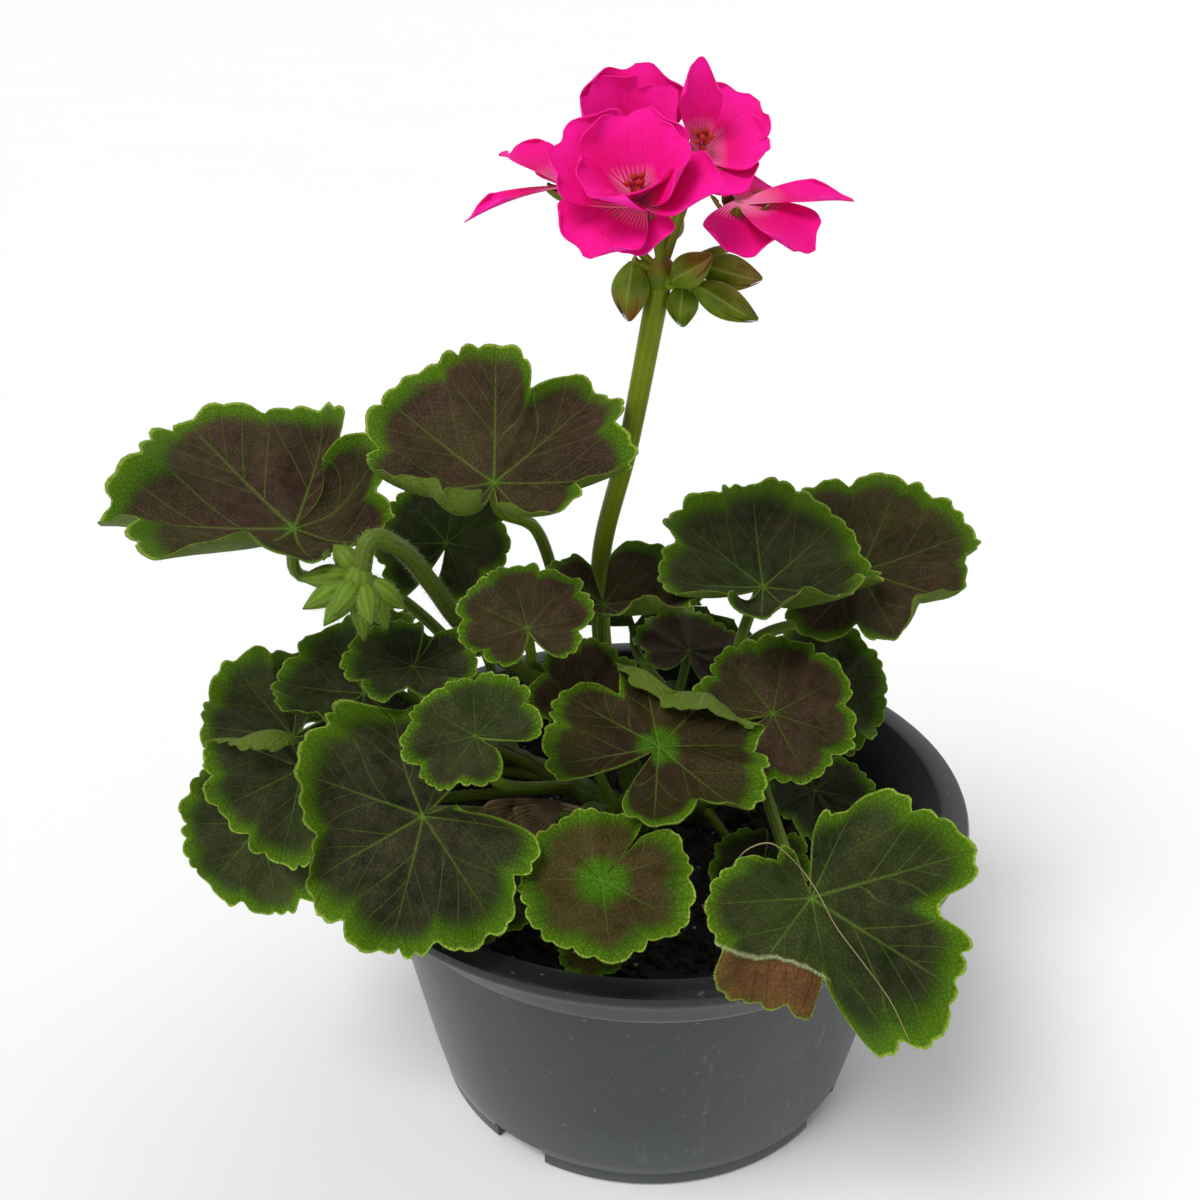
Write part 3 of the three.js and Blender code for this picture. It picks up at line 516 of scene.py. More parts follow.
def along_curve(points, steps):
    """Places evenly spaced along a smooth centripetal curve through points."""
    points = [np.array(p, dtype=float) for p in points]
    points = [2 * points[0] - points[1], *points, 2 * points[-1] - points[-2]]
    dense = []
    for p0, p1, p2, p3 in zip(points, points[1:], points[2:], points[3:]):
        d0, d1, d2 = (math.sqrt(np.linalg.norm(b - a)) for a, b in ((p0, p1), (p1, p2), (p2, p3)))
        t1 = ((p1 - p0) / d0 - (p2 - p0) / (d0 + d1) + (p2 - p1) / d1) * d1
        t2 = ((p2 - p1) / d1 - (p3 - p1) / (d1 + d2) + (p3 - p2) / d2) * d1
        for t in np.linspace(0, 1, CURVE_STEPS):
            cubic = 2 * (p1 - p2) + t1 + t2
            dense.append(p1 + t * (t1 + t * (-3 * p1 + 3 * p2 - 2 * t1 - t2 + t * cubic)))
    dense = np.array(dense)
    run = np.concatenate([[0], np.cumsum(np.linalg.norm(np.diff(dense, axis=0), axis=1))])
    even = np.linspace(0, run[-1], steps + 1)
    return np.stack([np.interp(even, run, dense[:, axis]) for axis in range(3)], axis=1)


def stalk_patch(places, radius_at, sides, slot=0, cover=0.0):
    """A closed round stalk. radius_at gives a radius at shares of the length and angles round it."""
    ahead = np.gradient(places, axis=0)
    ahead /= np.linalg.norm(ahead, axis=1)[:, None]
    across = np.cross(ahead[0], (1, 0, 0) if abs(ahead[0][0]) < 0.8 else (0, 1, 0))
    angles = np.linspace(0, 2 * math.pi, sides + 1)
    shares = np.linspace(0, 1, len(places))
    rows = [np.tile(places[0], (sides + 1, 1))]
    for place, way, share in zip(places, ahead, shares):
        across = across - way * across.dot(way)
        across /= np.linalg.norm(across)
        reach = np.broadcast_to(radius_at(share, angles), angles.shape)[:, None]
        side = np.cos(angles)[:, None] * across + np.sin(angles)[:, None] * np.cross(way, across)
        rows.append(place + reach * side)
    rows.append(np.tile(places[-1], (sides + 1, 1)))
    own = [[(angle / (2 * math.pi), share) for angle in angles] for share in (0, *shares, 1)]
    return grid_patch(rows, own, slot, cover)


def tapered(start, end):
    """A stalk's radius that runs straight from one size to another."""

    def radius_at(share, _):
        return start + (end - start) * share

    return radius_at


def stalk_finish(name, low, high, blush):
    """Soft green flesh with lengthwise ribs, and a blush of colour that comes and goes."""
    finish = Finish(name, {"Specular IOR Level": 0.2})
    ribs = (finish.own("X") * STALK_RIBS).ridges()
    mottle = finish.noise(160, 4)
    flesh = finish.mix(mottle * 0.7 + ribs * 0.3, low, high)
    flesh = finish.mix(finish.noise(45, 2).ramp(0.52, 0.687) * 0.6, flesh, blush)
    finish.wear(flesh, mottle * 0.2 + 0.42, ribs + finish.noise(1500, 2), 0.12)
    return finish


shoot_flesh = stalk_finish("shoot_flesh", (0.035, 0.06, 0.008), (0.10, 0.17, 0.02), (0.09, 0.05, 0.02))
down = Finish("white_down", {})
down.wear(down.mix(down.noise(300), (0.2, 0.26, 0.08), (0.42, 0.48, 0.25)), 0.6, down.noise(900), 0.01)
hair_shape = {"Vertices": 3, "Radius Top": 0, "Radius Bottom": 1, "Depth": 1}
hair_tree = scatter_tree("fine_hairs", "GeometryNodeMeshCone", hair_shape)
HAIR_WIDTH = 0.028  # of its length
HAIR_TILT = 0.5


def shoot_radius(share, _):
    """A shoot's radius, wider at its joints."""
    swell = sum(math.exp(-(((share - joint) / JOINT_LENGTH) ** 2)) for joint in JOINTS)
    return tapered(SHOOT_RADIUS, SHOOT_TIP_RADIUS)(share, _) * (0.97 + JOINT_SWELL * swell)


def cover_with_down(thing, density, shortest, longest, seed):
    """Fine white hairs, density to a square millimetre."""
    scatter(thing, hair_tree, down, density, shortest, longest, HAIR_WIDTH, HAIR_TILT, seed)


stem_patches = [stalk_patch(along_curve(TRUNK, 12), tapered(TRUNK_FOOT_RADIUS, TRUNK_RADIUS), 28)]
for route in SHOOTS.values():
    stem_patches.append(stalk_patch(along_curve(route, 70), shoot_radius, 24, cover=1))
stem = make_piece("forked_stem", stem_patches, [shoot_flesh])
cover_with_down(stem, 0.8, 0.4, 0.9, 2)
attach(stem, "root")
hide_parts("stem")

# ---- the leaves --------------------------------------------------------------------------------
# Soft, slightly furry blades of seven shallow lobes with scalloped edges, pleated along pale veins that fan
# from the top of the leafstalk. A bronze-brown zone lies inside a bright green margin.

LOBES = 7
LOBE_ANGLE = math.radians(48)
SCALLOP_DEPTH = 0.055  # this and the next seven are shares of the leaf's radius
LOBE_DEPTH = 0.13
BASE_SHRINK = 0.1
PLEAT = 0.05
WAVE = 0.04
SOFT_FOLD = 0.3
FRILL = 0.03
RAGGED = 0.02
LARGE_LEAF = 22
SCALLOPS = (4, 5)  # to a lobe, on small and on large leaves
MARGIN_START = 0.75  # the share of the radius where the scallops start
BASE_CUT = (0.3, 0.07)  # how deep and wide the rounding is where the two sides meet at the leafstalk
BLADE_THICKNESS = 0.45
RIM_THICKNESS = 0.2
FURRY_RIM = 0.93  # the share of the radius where the hairs grow thick
LEAFSTALK_RADII = (0.8, 1.35)  # of the smallest and the largest leaves
LARGEST_LEAF = 28
LOBE_STEPS = 24
BLADE_RINGS = np.array(
    (0, 0.04, 0.09, 0.15, 0.22, 0.3, 0.38, 0.46, 0.54, 0.62, 0.7, 0.77, 0.83, 0.88, 0.92, 0.955, 0.98, 1)
)

# Each leaf: the top of its leafstalk, its radius, its lean (tip from level, the bearing it tips toward, and
# the turn of its middle lobe from downhill, in degrees), its cup, and the shoot and share where it grows.
# lobes: how deep its lobes are, from the usual 1. long: a stretch and its bearing. dips: notches (bearing,
# depth, width). spread: widening that closes the notch. bends: folds (bearing, start, turn, and a radius if
# it is a sharp one). tone: its colouring, if not bronze.
LEAVES = {
    "crown": {"at": (-31.5, -5, 142.5), "size": 28, "lean": (36, -95, 187), "cup": 0.15,
        "long": (0.18, -10), "dips": [(-23, 0.28, 9), (-45, 0.06, 12)],
        "bends": [(145, 0.25, 100), (-168, 0.2, 40)], "via": [(-21, 15, 112), (-25, 10, 127)],
        "root": ("middle", 0.95)},
    "wing": {"at": (-74, 0, 130), "size": 34, "lean": (24, -75, -45), "cup": 0.12, "spread": 1.06,
        "long": (0.18, -77), "bends": [(30, 0.02, 32), (140, 0.15, 40)],
        "via": [(-44, 12, 97), (-63, 13, 113)], "root": ("left", 0.85)},
    "nook": {"at": (-45, 15, 121), "size": 17, "lean": (50, -110, -175), "cup": 0.15,
        "root": ("middle", 0.75), "tone": "dark"},
    "perch": {"at": (-24, -20, 118), "size": 14, "lean": (24, -95, -160), "cup": 0.15,
        "long": (0.12, 0), "via": [(-24, -7, 103)], "root": ("middle", 0.85)},
    "bridge": {"at": (-10, 2, 113), "size": 18.5, "lean": (22, -82, 0), "cup": 0.12,
        "long": (0.18, 90), "bends": [(0, 0.05, 45)], "root": ("middle", 0.6)},
    "fan": {"at": (24, 8, 115), "size": 26, "lean": (32, -68, 119), "cup": 0.18,
        "bends": [(-119, 0.1, 50)], "via": [(19, 6, 100)], "root": ("right", 0.4), "tone": "dark"},
    "outer_fan": {"at": (47, 22, 113), "size": 27, "lean": (24, -95, 114), "cup": 0.18,
        "bends": [(-60, 0.6, 60)], "via": [(22, 12, 99)], "root": ("right", 0.25)},
    "drape": {"at": (-76, -10, 86), "size": 21, "lean": (80, -95, -45), "cup": 0.1,
        "bends": [(-135, 0.45, -70)], "root": ("left", 0.55), "tone": "dark"},
    "fold": {"at": (-58, -17, 101), "size": 20, "lean": (28, -110, -80), "cup": 0.15,
        "bends": [(80, 0.25, 50)], "root": ("left", 0.75), "tone": "dark"},
    "shelf": {"at": (-47, -20, 109), "size": 14, "lean": (10, -86, -24), "cup": 0.2,
        "root": ("left", 0.7), "tone": "dark"},
    "elbow": {"at": (-31, -48, 110), "size": 13.3, "lean": (25, -110, -106), "cup": 0.15,
        "root": ("left", 0.5), "tone": "dark"},
    "apron": {"at": (-41, -50, 94), "size": 26, "lean": (60, -98, -55), "cup": 0.15,
        "dips": [(-148, 0.5, 24), (160, 0.6, 14)], "bends": [(-115, 0.2, -60), (-45, 0.5, 55)],
        "root": ("front", 0.7), "tone": "dark"},
    "hanging": {"at": (-67, -35, 94), "size": 20, "lean": (76, -95, -13), "cup": 0.12,
        "bends": [(-167, 0.15, 130)], "root": ("left", 0.6), "tone": "dark"},
    "lowest": {"at": (-77, -34, 80), "size": 19.5, "lean": (80, -98, 10), "cup": 0.1,
        "dips": [(-95, 0.16, 30)], "bends": [(170, 0.1, -80)], "via": [(-50, -24, 80)],
        "root": ("left", 0.5), "tone": "dark"},
    "round": {"at": (-8, -59.5, 87.8), "size": 16.2, "lean": (22, -99, -33), "cup": 0.06,
        "spread": 1.05, "lobes": 0.4, "long": (0.1, 120), "root": ("front", 0.8), "tone": "ringed"},
    "centre": {"at": (2, -32, 99), "size": 24, "lean": (24, -88, 140), "cup": 0.07,
        "dips": [(72, 0.3, 12), (-50, 0.2, 12)], "bends": [(-140, 0.45, 35), (11, 0.5, 150, 0.08)],
        "root": ("front", 0.75), "tone": "young"},
    "screen": {"at": (-12, -15, 98), "size": 14.5, "lean": (50, -50, 150), "cup": 0.12,
        "root": ("front", 0.5)},
    "shade": {"at": (26, -8, 93), "size": 18, "lean": (37, -89, 119), "cup": 0.12,
        "root": ("right", 0.6)},
    "flank": {"at": (40, 20, 84), "size": 17, "lean": (50, -62, 91), "cup": 0.12,
        "root": ("back", 0.5), "tone": "dark"},
    "hidden": {"at": (9, 22, 92), "size": 13.5, "lean": (15, -60, 143), "cup": 0.12,
        "root": ("back", 0.5)},
    "floor": {"at": (37, -3, 71), "size": 14, "lean": (25, -60, 10), "cup": 0.11,
        "dips": [(135, 0.35, 30)], "root": ("right", 0.7), "tone": "dark"},
    "gloom": {"at": (24, -24, 66), "size": 11, "lean": (15, -135, 14), "cup": 0.12,
        "root": ("right", 0.4), "tone": "dark"},
    "spill": {"at": (29, -62, 87), "size": 25.5, "lean": (52, -90, 11), "cup": 0.1,
        "long": (0.26, 62),
        "dips": [(-2, 0.48, 9), (-22, 0.18, 16), (56, 0.1, 12), (77, 0.28, 8), (-150, 0.5, 22),
                 (152, 0.35, 16)],
        "bends": [(-25, 0.5, -35, 0.1)], "root": ("right", 0.85), "tone": "torn"},
    "rim": {"at": (-30, -46, 75), "size": 10.5, "lean": (40, -90, 0), "cup": 0.12,
        "root": ("front", 0.6), "tone": "dark"},
    "sprout": {"at": (-10, -50, 65), "size": 7, "lean": (35, -90, 0), "cup": 0.2,
        "root": ("front", 0.4), "tone": "ringed"},
    "back_left": {"at": (-40, 36, 84), "size": 21, "lean": (35, 130, 20), "cup": 0.12,
        "root": ("back", 0.5), "tone": "dark"},
    "back_middle": {"at": (-4, 52, 84), "size": 20, "lean": (30, 95, 0), "cup": 0.12,
        "root": ("back", 0.9)},
    "back_right": {"at": (26, 42, 84), "size": 18, "lean": (32, 60, -10), "cup": 0.12,
        "root": ("back", 0.7), "tone": "dark"},
    "back_outer": {"at": (-68, 30, 84), "size": 19, "lean": (45, 160, 0), "cup": 0.12,
        "root": ("left", 0.5)},
}


def frame_of(tip, bearing, turn):
    """The middle lobe's way, the left side and the face of a leaf or bloom."""
    tip, bearing, turn = np.radians([tip, bearing, turn])
    level = np.array([math.cos(bearing), math.sin(bearing), 0])
    up = np.array([0, 0, 1])
    downhill = math.cos(tip) * level - math.sin(tip) * up
    face = math.sin(tip) * level + math.cos(tip) * up
    middle = downhill * math.cos(turn) + np.cross(face, downhill) * math.sin(turn)
    return np.array([middle, np.cross(face, middle), face])


def folded(x, y, z, size, bend):
    """Turns what lies past a line across the leaf upward round a soft fold."""
    bearing, start, turn, *sharp = bend
    radius = (sharp[0] if sharp else SOFT_FOLD) * size
    c, s = math.cos(math.radians(bearing)), math.sin(math.radians(bearing))
    along = np.maximum(x * c + y * s - start * size, 0)
    angle = np.minimum(along / radius, math.radians(abs(turn)))
    rest = along - angle * radius
    side = math.copysign(1, turn)
    shift = radius * np.sin(angle) + rest * np.cos(angle) - along - side * np.sin(angle) * z
    lift = side * (radius * (1 - np.cos(angle)) + rest * np.sin(angle))
    return x + shift * c, y + shift * s, z * np.cos(angle) + lift


def blade_reach(leaf, turn):
    """The blade's radius at a turn from its middle lobe."""
    lobe = turn / LOBE_ANGLE
    across = np.abs(lobe - np.round(lobe)) * 2
    to_base = np.abs(turn) / (LOBES * LOBE_ANGLE * 0.5)
    stretch, bearing = leaf.get("long", (0, 0))
    outline = (1 - LOBE_DEPTH * leaf.get("lobes", 1) * across**3) * (1 - BASE_SHRINK * to_base**3)
    cut, cut_width = BASE_CUT
    outline = outline * (1 - cut * np.clip((to_base - 1) / cut_width + 1, 0, 1) ** 2)
    for middle, depth, width in leaf.get("dips", ()):
        outline = outline * (1 - depth * np.exp(-(((np.degrees(turn) - middle) / width) ** 2)))
    return leaf["size"] * outline * (1 + stretch * np.cos(turn - math.radians(bearing)))


def blade_rows(leaf, axes):
    """Rows of points over a blade's upper face, and their own map: lobes round it, and share outward."""
    half = LOBES * LOBE_ANGLE / 2
    turn, share = np.meshgrid(np.linspace(-half, half, LOBES * LOBE_STEPS + 1), BLADE_RINGS)
    scallops = SCALLOPS[leaf["size"] >= LARGE_LEAF]
    phase = sum(leaf["at"])  # makes each leaf uneven in its own way
    to_rim = np.clip((share - MARGIN_START) / (1 - MARGIN_START), 0, 1) ** 2
    uneven = 0.25 * np.sin(4 * turn + phase)
    tooth = np.abs(np.sin(math.pi * ((turn + half) * scallops / LOBE_ANGLE + uneven)))
    notch = SCALLOP_DEPTH * (1 - tooth**0.6) * (1 + 0.5 * np.sin(11 * turn + phase))
    ragged = RAGGED * (np.sin(5.3 * turn + phase) + 0.6 * np.sin(17 * turn + 2 * phase))
    reach = share * blade_reach(leaf, turn) * (1 - to_rim * (notch + ragged))
    pleat = -PLEAT * share * np.cos(2 * math.pi * turn / LOBE_ANGLE)
    frill = np.sin(9 * turn + phase) + 0.5 * np.sin(23 * turn + 2 * phase)
    wave = WAVE * share**2 * np.sin(3 * turn) + FRILL * share**5 * frill
    angle = turn * leaf.get("spread", 1)
    x, y = reach * np.cos(angle), reach * np.sin(angle)
    z = leaf["size"] * (leaf["cup"] * share**1.6 + pleat + wave)
    for bend in leaf.get("bends", ()):
        x, y, z = folded(x, y, z, leaf["size"], bend)
    rows = np.array(leaf["at"]) + np.stack([x, y, z], axis=2) @ axes
    return rows, np.stack([turn / LOBE_ANGLE, share], axis=2)


def sheet_patches(rows, own, thickness, upper, under, cover):
    """A thin sheet: its upper face, the same face a thickness below, and its edge."""
    steps = np.cross(np.gradient(rows, axis=0), np.gradient(rows, axis=1))
    steps[0] = steps[1].mean(axis=0)
    normals = steps / np.maximum(np.linalg.norm(steps, axis=2), 1e-9)[:, :, None]
    below = rows - normals * np.broadcast_to(thickness, rows.shape[:2])[:, :, None]
    count, columns = rows.shape[:2]
    top = patch(rows, grid_faces(count, columns, flip=True), own, upper, cover)
    low = patch(below, grid_faces(count, columns), own, under, cover)
    index = np.arange(count * columns).reshape(count, columns)
    loop = [*index[0], *index[1:, -1], *index[-1, -2::-1], *index[-2:0:-1, 0]]
    flat_rows, flat_below, flat_own = rows.reshape(-1, 3), below.reshape(-1, 3), own.reshape(-1, 2)
    around = len(loop)
    edge_points = np.concatenate([flat_rows[loop], flat_below[loop]])
    edge = [(i, (i + 1) % around, (i + 1) % around + around, i + around) for i in range(around)]
    rim = patch(edge_points, edge, np.concatenate([flat_own[loop]] * 2), under, np.max(cover))
    return [top, low, rim]


BLADE_DARK, BLADE_PALE = (0.022, 0.055, 0.001), (0.06, 0.13, 0.002)
MARGIN_GREEN = (0.11, 0.24, 0.002)
EDGE_HIGHLIGHT_GREEN = (0.3, 0.44, 0.05)
HUB_GREEN = (0.05, 0.18, 0.002)
NET_GREEN = (0.05, 0.09, 0.005)
VEIN_GREEN = (0.15, 0.23, 0.035)
RUST_DARK, RUST_PALE = (0.05, 0.018, 0.006), (0.22, 0.09, 0.03)
CREST_PALE = (0.36, 0.40, 0.2)
# Where each side vein leaves the middle vein of its lobe, as a share of the radius, and how far it slants.
SIDE_VEINS = ((0.26, 0.62), (0.44, 0.55), (0.6, 0.5), (0.74, 0.45))
SIDE_STAGGER = 0.07  # how much farther out they leave it on one side
VEIN_WIDTH, VEIN_TAPER = 0.018, 0.01
SIDE_WIDTH, SIDE_TAPER = 0.010, 0.004
VEIN_WANDER = 0.012


def leaf_veins(aside, share, wander):
    """The veins as a mask. aside is how far a place lies from the middle of its lobe, in lobes."""
    sideways = abs(aside) * (LOBE_ANGLE * share)
    veins = (sideways + wander * 0.4).ramp(VEIN_WIDTH - share * VEIN_TAPER, 0)
    for start, slant in SIDE_VEINS:
        away = share - ((aside > 0) * SIDE_STAGGER + start)
        from_middle = abs(sideways - away * slant + wander)
        branch = from_middle.ramp(SIDE_WIDTH - share * SIDE_TAPER, 0) * (away > 0)
        veins = veins.math("MAXIMUM", branch * 0.8)
    return veins


def leaf_green(finish, share, hub, blotch):
    """The green of a blade, lighter toward its margin and round its middle, with a painted highlight along
    its very edge.
    """
    green = finish.mix(blotch.ramp(0.273, 0.727), BLADE_DARK, BLADE_PALE)
    green = finish.mix(share.ramp(0.8, 1) * 0.6, green, MARGIN_GREEN)
    # Painted highlight: a thin light rim along the blade's edge, as light shines through it and catches its
    # hairs.
    green = finish.mix(share.ramp(0.972, 0.99) * 0.8, green, EDGE_HIGHLIGHT_GREEN)
    return finish.mix((share.ramp(0.3, 0) * (0.25 + hub * 3)).clamp(), green, HUB_GREEN)


def dry_flap(finish, face, lobe, share, crest_line, uneven, rust_share):
    """A rusty flap beyond a pale crest. crest_line: the way across the crest, and how far along that way it
    lies, in millimetres."""
    across, start = crest_line
    reach = {0: finish.place(), 1: across}
    along = finish.node("ShaderNodeVectorMath", {"operation": "DOT_PRODUCT"}, reach, "Value") / MM
    along = along - start + uneven
    left = lobe.ramp(0.06, -0.065)
    rust = finish.mix(rust_share, RUST_DARK, RUST_PALE)
    face = finish.mix(along.clamp() * left * share.ramp(1.015, 0.965) * 0.85, face, rust)
    return finish.mix(abs(along).ramp(0.55, 0) * left * 0.8, face, CREST_PALE)


def leaf_upper(name, zone_dark, zone_pale, hub, reach, softness, crest_line=None):
    """The upper face of a leaf. hub is the share of its radius that stays green round the middle, and reach
    how far the zone spreads."""
    finish = Finish(name, {"Specular IOR Level": 0.1})
    share = finish.own("Y")
    lobe = finish.own("X")
    aside = (lobe + 0.5).fract() - 0.5
    wander = (finish.noise(130, 3) - 0.5) * VEIN_WANDER
    blotch = finish.noise(70, 4)
    fine = finish.noise(420, 3)
    patchy = finish.noise(38, 2).ramp(0.25, 0.583)
    veins = leaf_veins(aside, share, wander)
    net = finish.net(1100, 0.09)
    edge = reach - abs(aside) * 0.14 + (blotch - 0.5) * 0.24 + (fine - 0.5) * 0.1
    zone = (edge - share).soft_ramp(-0.5 * softness, 0.5 * softness)
    hub_edge = 0.06 + 0.4 * hub
    zone = zone * share.soft_ramp(hub - 0.35 * hub_edge, hub + 0.65 * hub_edge)
    bronze = finish.mix((fine * 0.5 + blotch * 0.5).ramp(0.308, 0.692), zone_dark, zone_pale)
    face = finish.mix(zone * (patchy * 0.26 + 0.72), leaf_green(finish, share, hub, blotch), bronze)
    face = finish.mix(net * 0.12, face, NET_GREEN)
    face = finish.mix(veins * (0.58 - share * 0.26), face, VEIN_GREEN)
    if crest_line:
        uneven = wander * 60 + (blotch - 0.5) * 7
        rust_share = (blotch * 0.5 + fine * 0.9 - 0.3).clamp()
        face = dry_flap(finish, face, lobe, share, crest_line, uneven, rust_share)
    relief = (1 - veins) * 0.55 - net * 0.25 + finish.noise(900, 3) * 0.4 + blotch
    finish.wear(face, fine * 0.14 + 0.52, relief, 0.45)
    return finish


torn = LEAVES["spill"]
fold_bearing, fold_start, *_ = torn["bends"][0]
torn_axes = frame_of(*torn["lean"])
fold_turn = math.radians(fold_bearing)
fold_way = torn_axes[0] * math.cos(fold_turn) + torn_axes[1] * math.sin(fold_turn)
torn_crest = (fold_way, float(fold_way.dot(torn["at"])) + fold_start * torn["size"])
upper_faces = {
    "bronze": leaf_upper("leaf_bronze_zone", (0.02, 0.008, 0.005), (0.08, 0.04, 0.026), 0.04, 0.9, 0.12),
    "dark": leaf_upper("leaf_dark_zone", (0.004, 0.004, 0.002), (0.05, 0.045, 0.02), 0.03, 0.87, 0.2),
    "young": leaf_upper("leaf_young_zone", (0.014, 0.006, 0.003), (0.05, 0.024, 0.012), 0.17, 0.88, 0.12),
    "ringed": leaf_upper("leaf_ringed_zone", (0.03, 0.016, 0.004), (0.085, 0.05, 0.018), 0.3, 0.8, 0.2),
    "torn": leaf_upper("leaf_torn", (0.005, 0.006, 0.002), (0.045, 0.045, 0.016), 0.03, 0.86, 0.22,
                       torn_crest),
}
pale_under = Finish("leaf_underside", {"Specular IOR Level": 0.12})
under_share = pale_under.own("Y")
under_side = abs((pale_under.own("X") + 0.5).fract() - 0.5) * (LOBE_ANGLE * under_share)
ridge = under_side.ramp(0.035 - under_share * 0.02, 0)
under_net = pale_under.net(800, 0.12)
under_tone = pale_under.mix(pale_under.noise(200, 4), (0.06, 0.10, 0.008), (0.13, 0.19, 0.02))
under_tone = pale_under.mix((ridge + under_net * 0.3).clamp() * 0.5, under_tone, (0.22, 0.3, 0.06))
pale_under.wear(under_tone, 0.65, ridge + under_net * 0.4 + pale_under.noise(900, 3) * 0.4, 0.35)
leafstalk_flesh = stalk_finish("leafstalk_flesh", (0.07, 0.12, 0.003), (0.16, 0.24, 0.012),
                               (0.1, 0.09, 0.012))

# A dry thread of root lies over the torn leaf.
straw = mottled_finish("dry_rootlet", 500, 3, (0.12, 0.09, 0.03), (0.4, 0.33, 0.15), 0.7, 0.05)
ROOTLET = [(14.5, -58, 88), (16, -58.5, 92), (18.1, -59.3, 95.3), (21.6, -59.1, 96.3), (26.1, -59.9, 93),
           (29.6, -62.6, 89.4), (32.9, -67, 85), (37.3, -71.2, 80.8), (41.9, -75, 75.8), (45, -79, 70.6)]
ROOTLET_RADII = (0.13, 0.078)


def leafstalk_radius(leaf):
    """The radius of a leafstalk at shares of its length: wider at its foot and under the blade."""
    thin, thick = LEAFSTALK_RADII
    usual = thin + (thick - thin) * min(1, leaf["size"] / LARGEST_LEAF)

    def radius_at(share, _):
        foot = 0.35 * max(0, 1 - 6 * share)
        neck = 0.5 * max(0, share - 0.93) / 0.07
        return usual * (1 + foot + neck)

    return radius_at


for number, (leaf_name, leaf) in enumerate(LEAVES.items()):
    leaf_axes = frame_of(*leaf["lean"])
    rows, own = blade_rows(leaf, leaf_axes)
    ring_shares = BLADE_RINGS[:, None]
    thickness = BLADE_THICKNESS + (RIM_THICKNESS - BLADE_THICKNESS) * ring_shares**6
    furry = np.broadcast_to(np.clip((ring_shares - FURRY_RIM) / 0.05, 0.03, 1), rows.shape[:2])
    blade = sheet_patches(rows, own, thickness, 0, 1, furry)
    shoot, shoot_share = leaf["root"]
    root = along_curve(SHOOTS[shoot], 100)[round(100 * shoot_share)]
    top = np.array(leaf["at"]) - 0.3 * leaf_axes[2]
    below = top - 0.2 * np.linalg.norm(top - root) * leaf_axes[2]
    course = along_curve([root, *leaf.get("via", ()), below, top], 40)
    leafstalk = stalk_patch(course, leafstalk_radius(leaf), 12, 2, 0.5)
    parts = [*blade, leafstalk]
    if leaf is torn:
        parts.append(stalk_patch(along_curve(ROOTLET, 60), tapered(*ROOTLET_RADII), 6, 3))
    finishes = [upper_faces[leaf.get("tone", "bronze")], pale_under, leafstalk_flesh, straw]
    piece = make_piece(leaf_name + "_leaf", parts, finishes, 55)
    cover_with_down(piece, 1.2, 0.3, 0.7, number)
    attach(piece, "root")
    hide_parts("leaf_" + leaf_name)

# ---- the flower stalk --------------------------------------------------------------------------
# One tall, slightly ribbed green stalk. Round its top stand the pedicels: five carry open blooms in green
# cups of five sepals, and the others carry closed buds, wrapped in sepals that blush red toward their tips.

HEAD = (1, 0, 183)
PEDUNCLE = [(-8, 6, 80), (-11, 14, 102), (-11, 16.5, 118), (-5, 8, 147), HEAD]
PEDUNCLE_RADIUS = 2.1
PEDICEL_RADIUS = 0.8
THROAT_DEPTH = 2.6
SEPALS = 5
SEPAL = (35, 7.5, 2.4, -35)  # lift, length, width, curl
# stamens: whether they show. at: throat. lean: as a leaf's. via: a point of its pedicel.
# petals: bearing, lift over the bloom's plane, length, width, and curl along the petal, in degrees.
BLOOMS = {
    "front": {"stamens": True, "at": (-3, -14, 198), "lean": (40, -105, 0), "via": (0, -4, 191),
        "petals": [(190, 44, 15.5, 19, 25), (252, 36, 18, 20, 15), (318, 50, 14, 17, 20),
                   (30, 58, 10, 14, 20), (112, 46, 14, 17, 20), (330, 5, 15.5, 19, 5),
                   (85, 22, 17, 14, 10), (10, -5, 12, 13, 0)]},
    "back": {"stamens": True, "at": (-4.4, 5.2, 202.6), "lean": (40, -90, 0), "via": (-1, 3, 192),
        "petals": [(180, 52, 17, 20, 20), (238, 55, 16, 18, 20), (131, 55, 15, 12.5, 15)]},
    "top": {"stamens": True, "at": (7.4, 0.5, 204), "lean": (40, -80, 0), "via": (5, 2, 195),
        "petals": [(134, 15, 15.5, 16, 0), (186, 58, 17, 8, 10), (85, 18, 13, 13, 10),
                   (27, 8, 13, 13.5, -5), (330, 10, 9, 8, 0)]},
    "right": {"at": (14.4, -8.2, 197), "lean": (15, -60, 0), "via": (10, -1, 187),
        "petals": [(66, 12, 21, 9, 25), (22, -5, 17, 16, 40), (-25, -20, 13, 14, 20),
                   (115, 0, 13, 12, 20)]},
    "left": {"stamens": True, "at": (-16, 2.4, 198.2), "lean": (15, 180, 0), "via": (-8, 2, 190),
        "petals": [(15, 4, 21.5, 11, 28), (-30, 40, 16, 13, 45), (-85, 15, 13, 12, 20),
                   (-140, 30, 11, 10, 20)]},
}
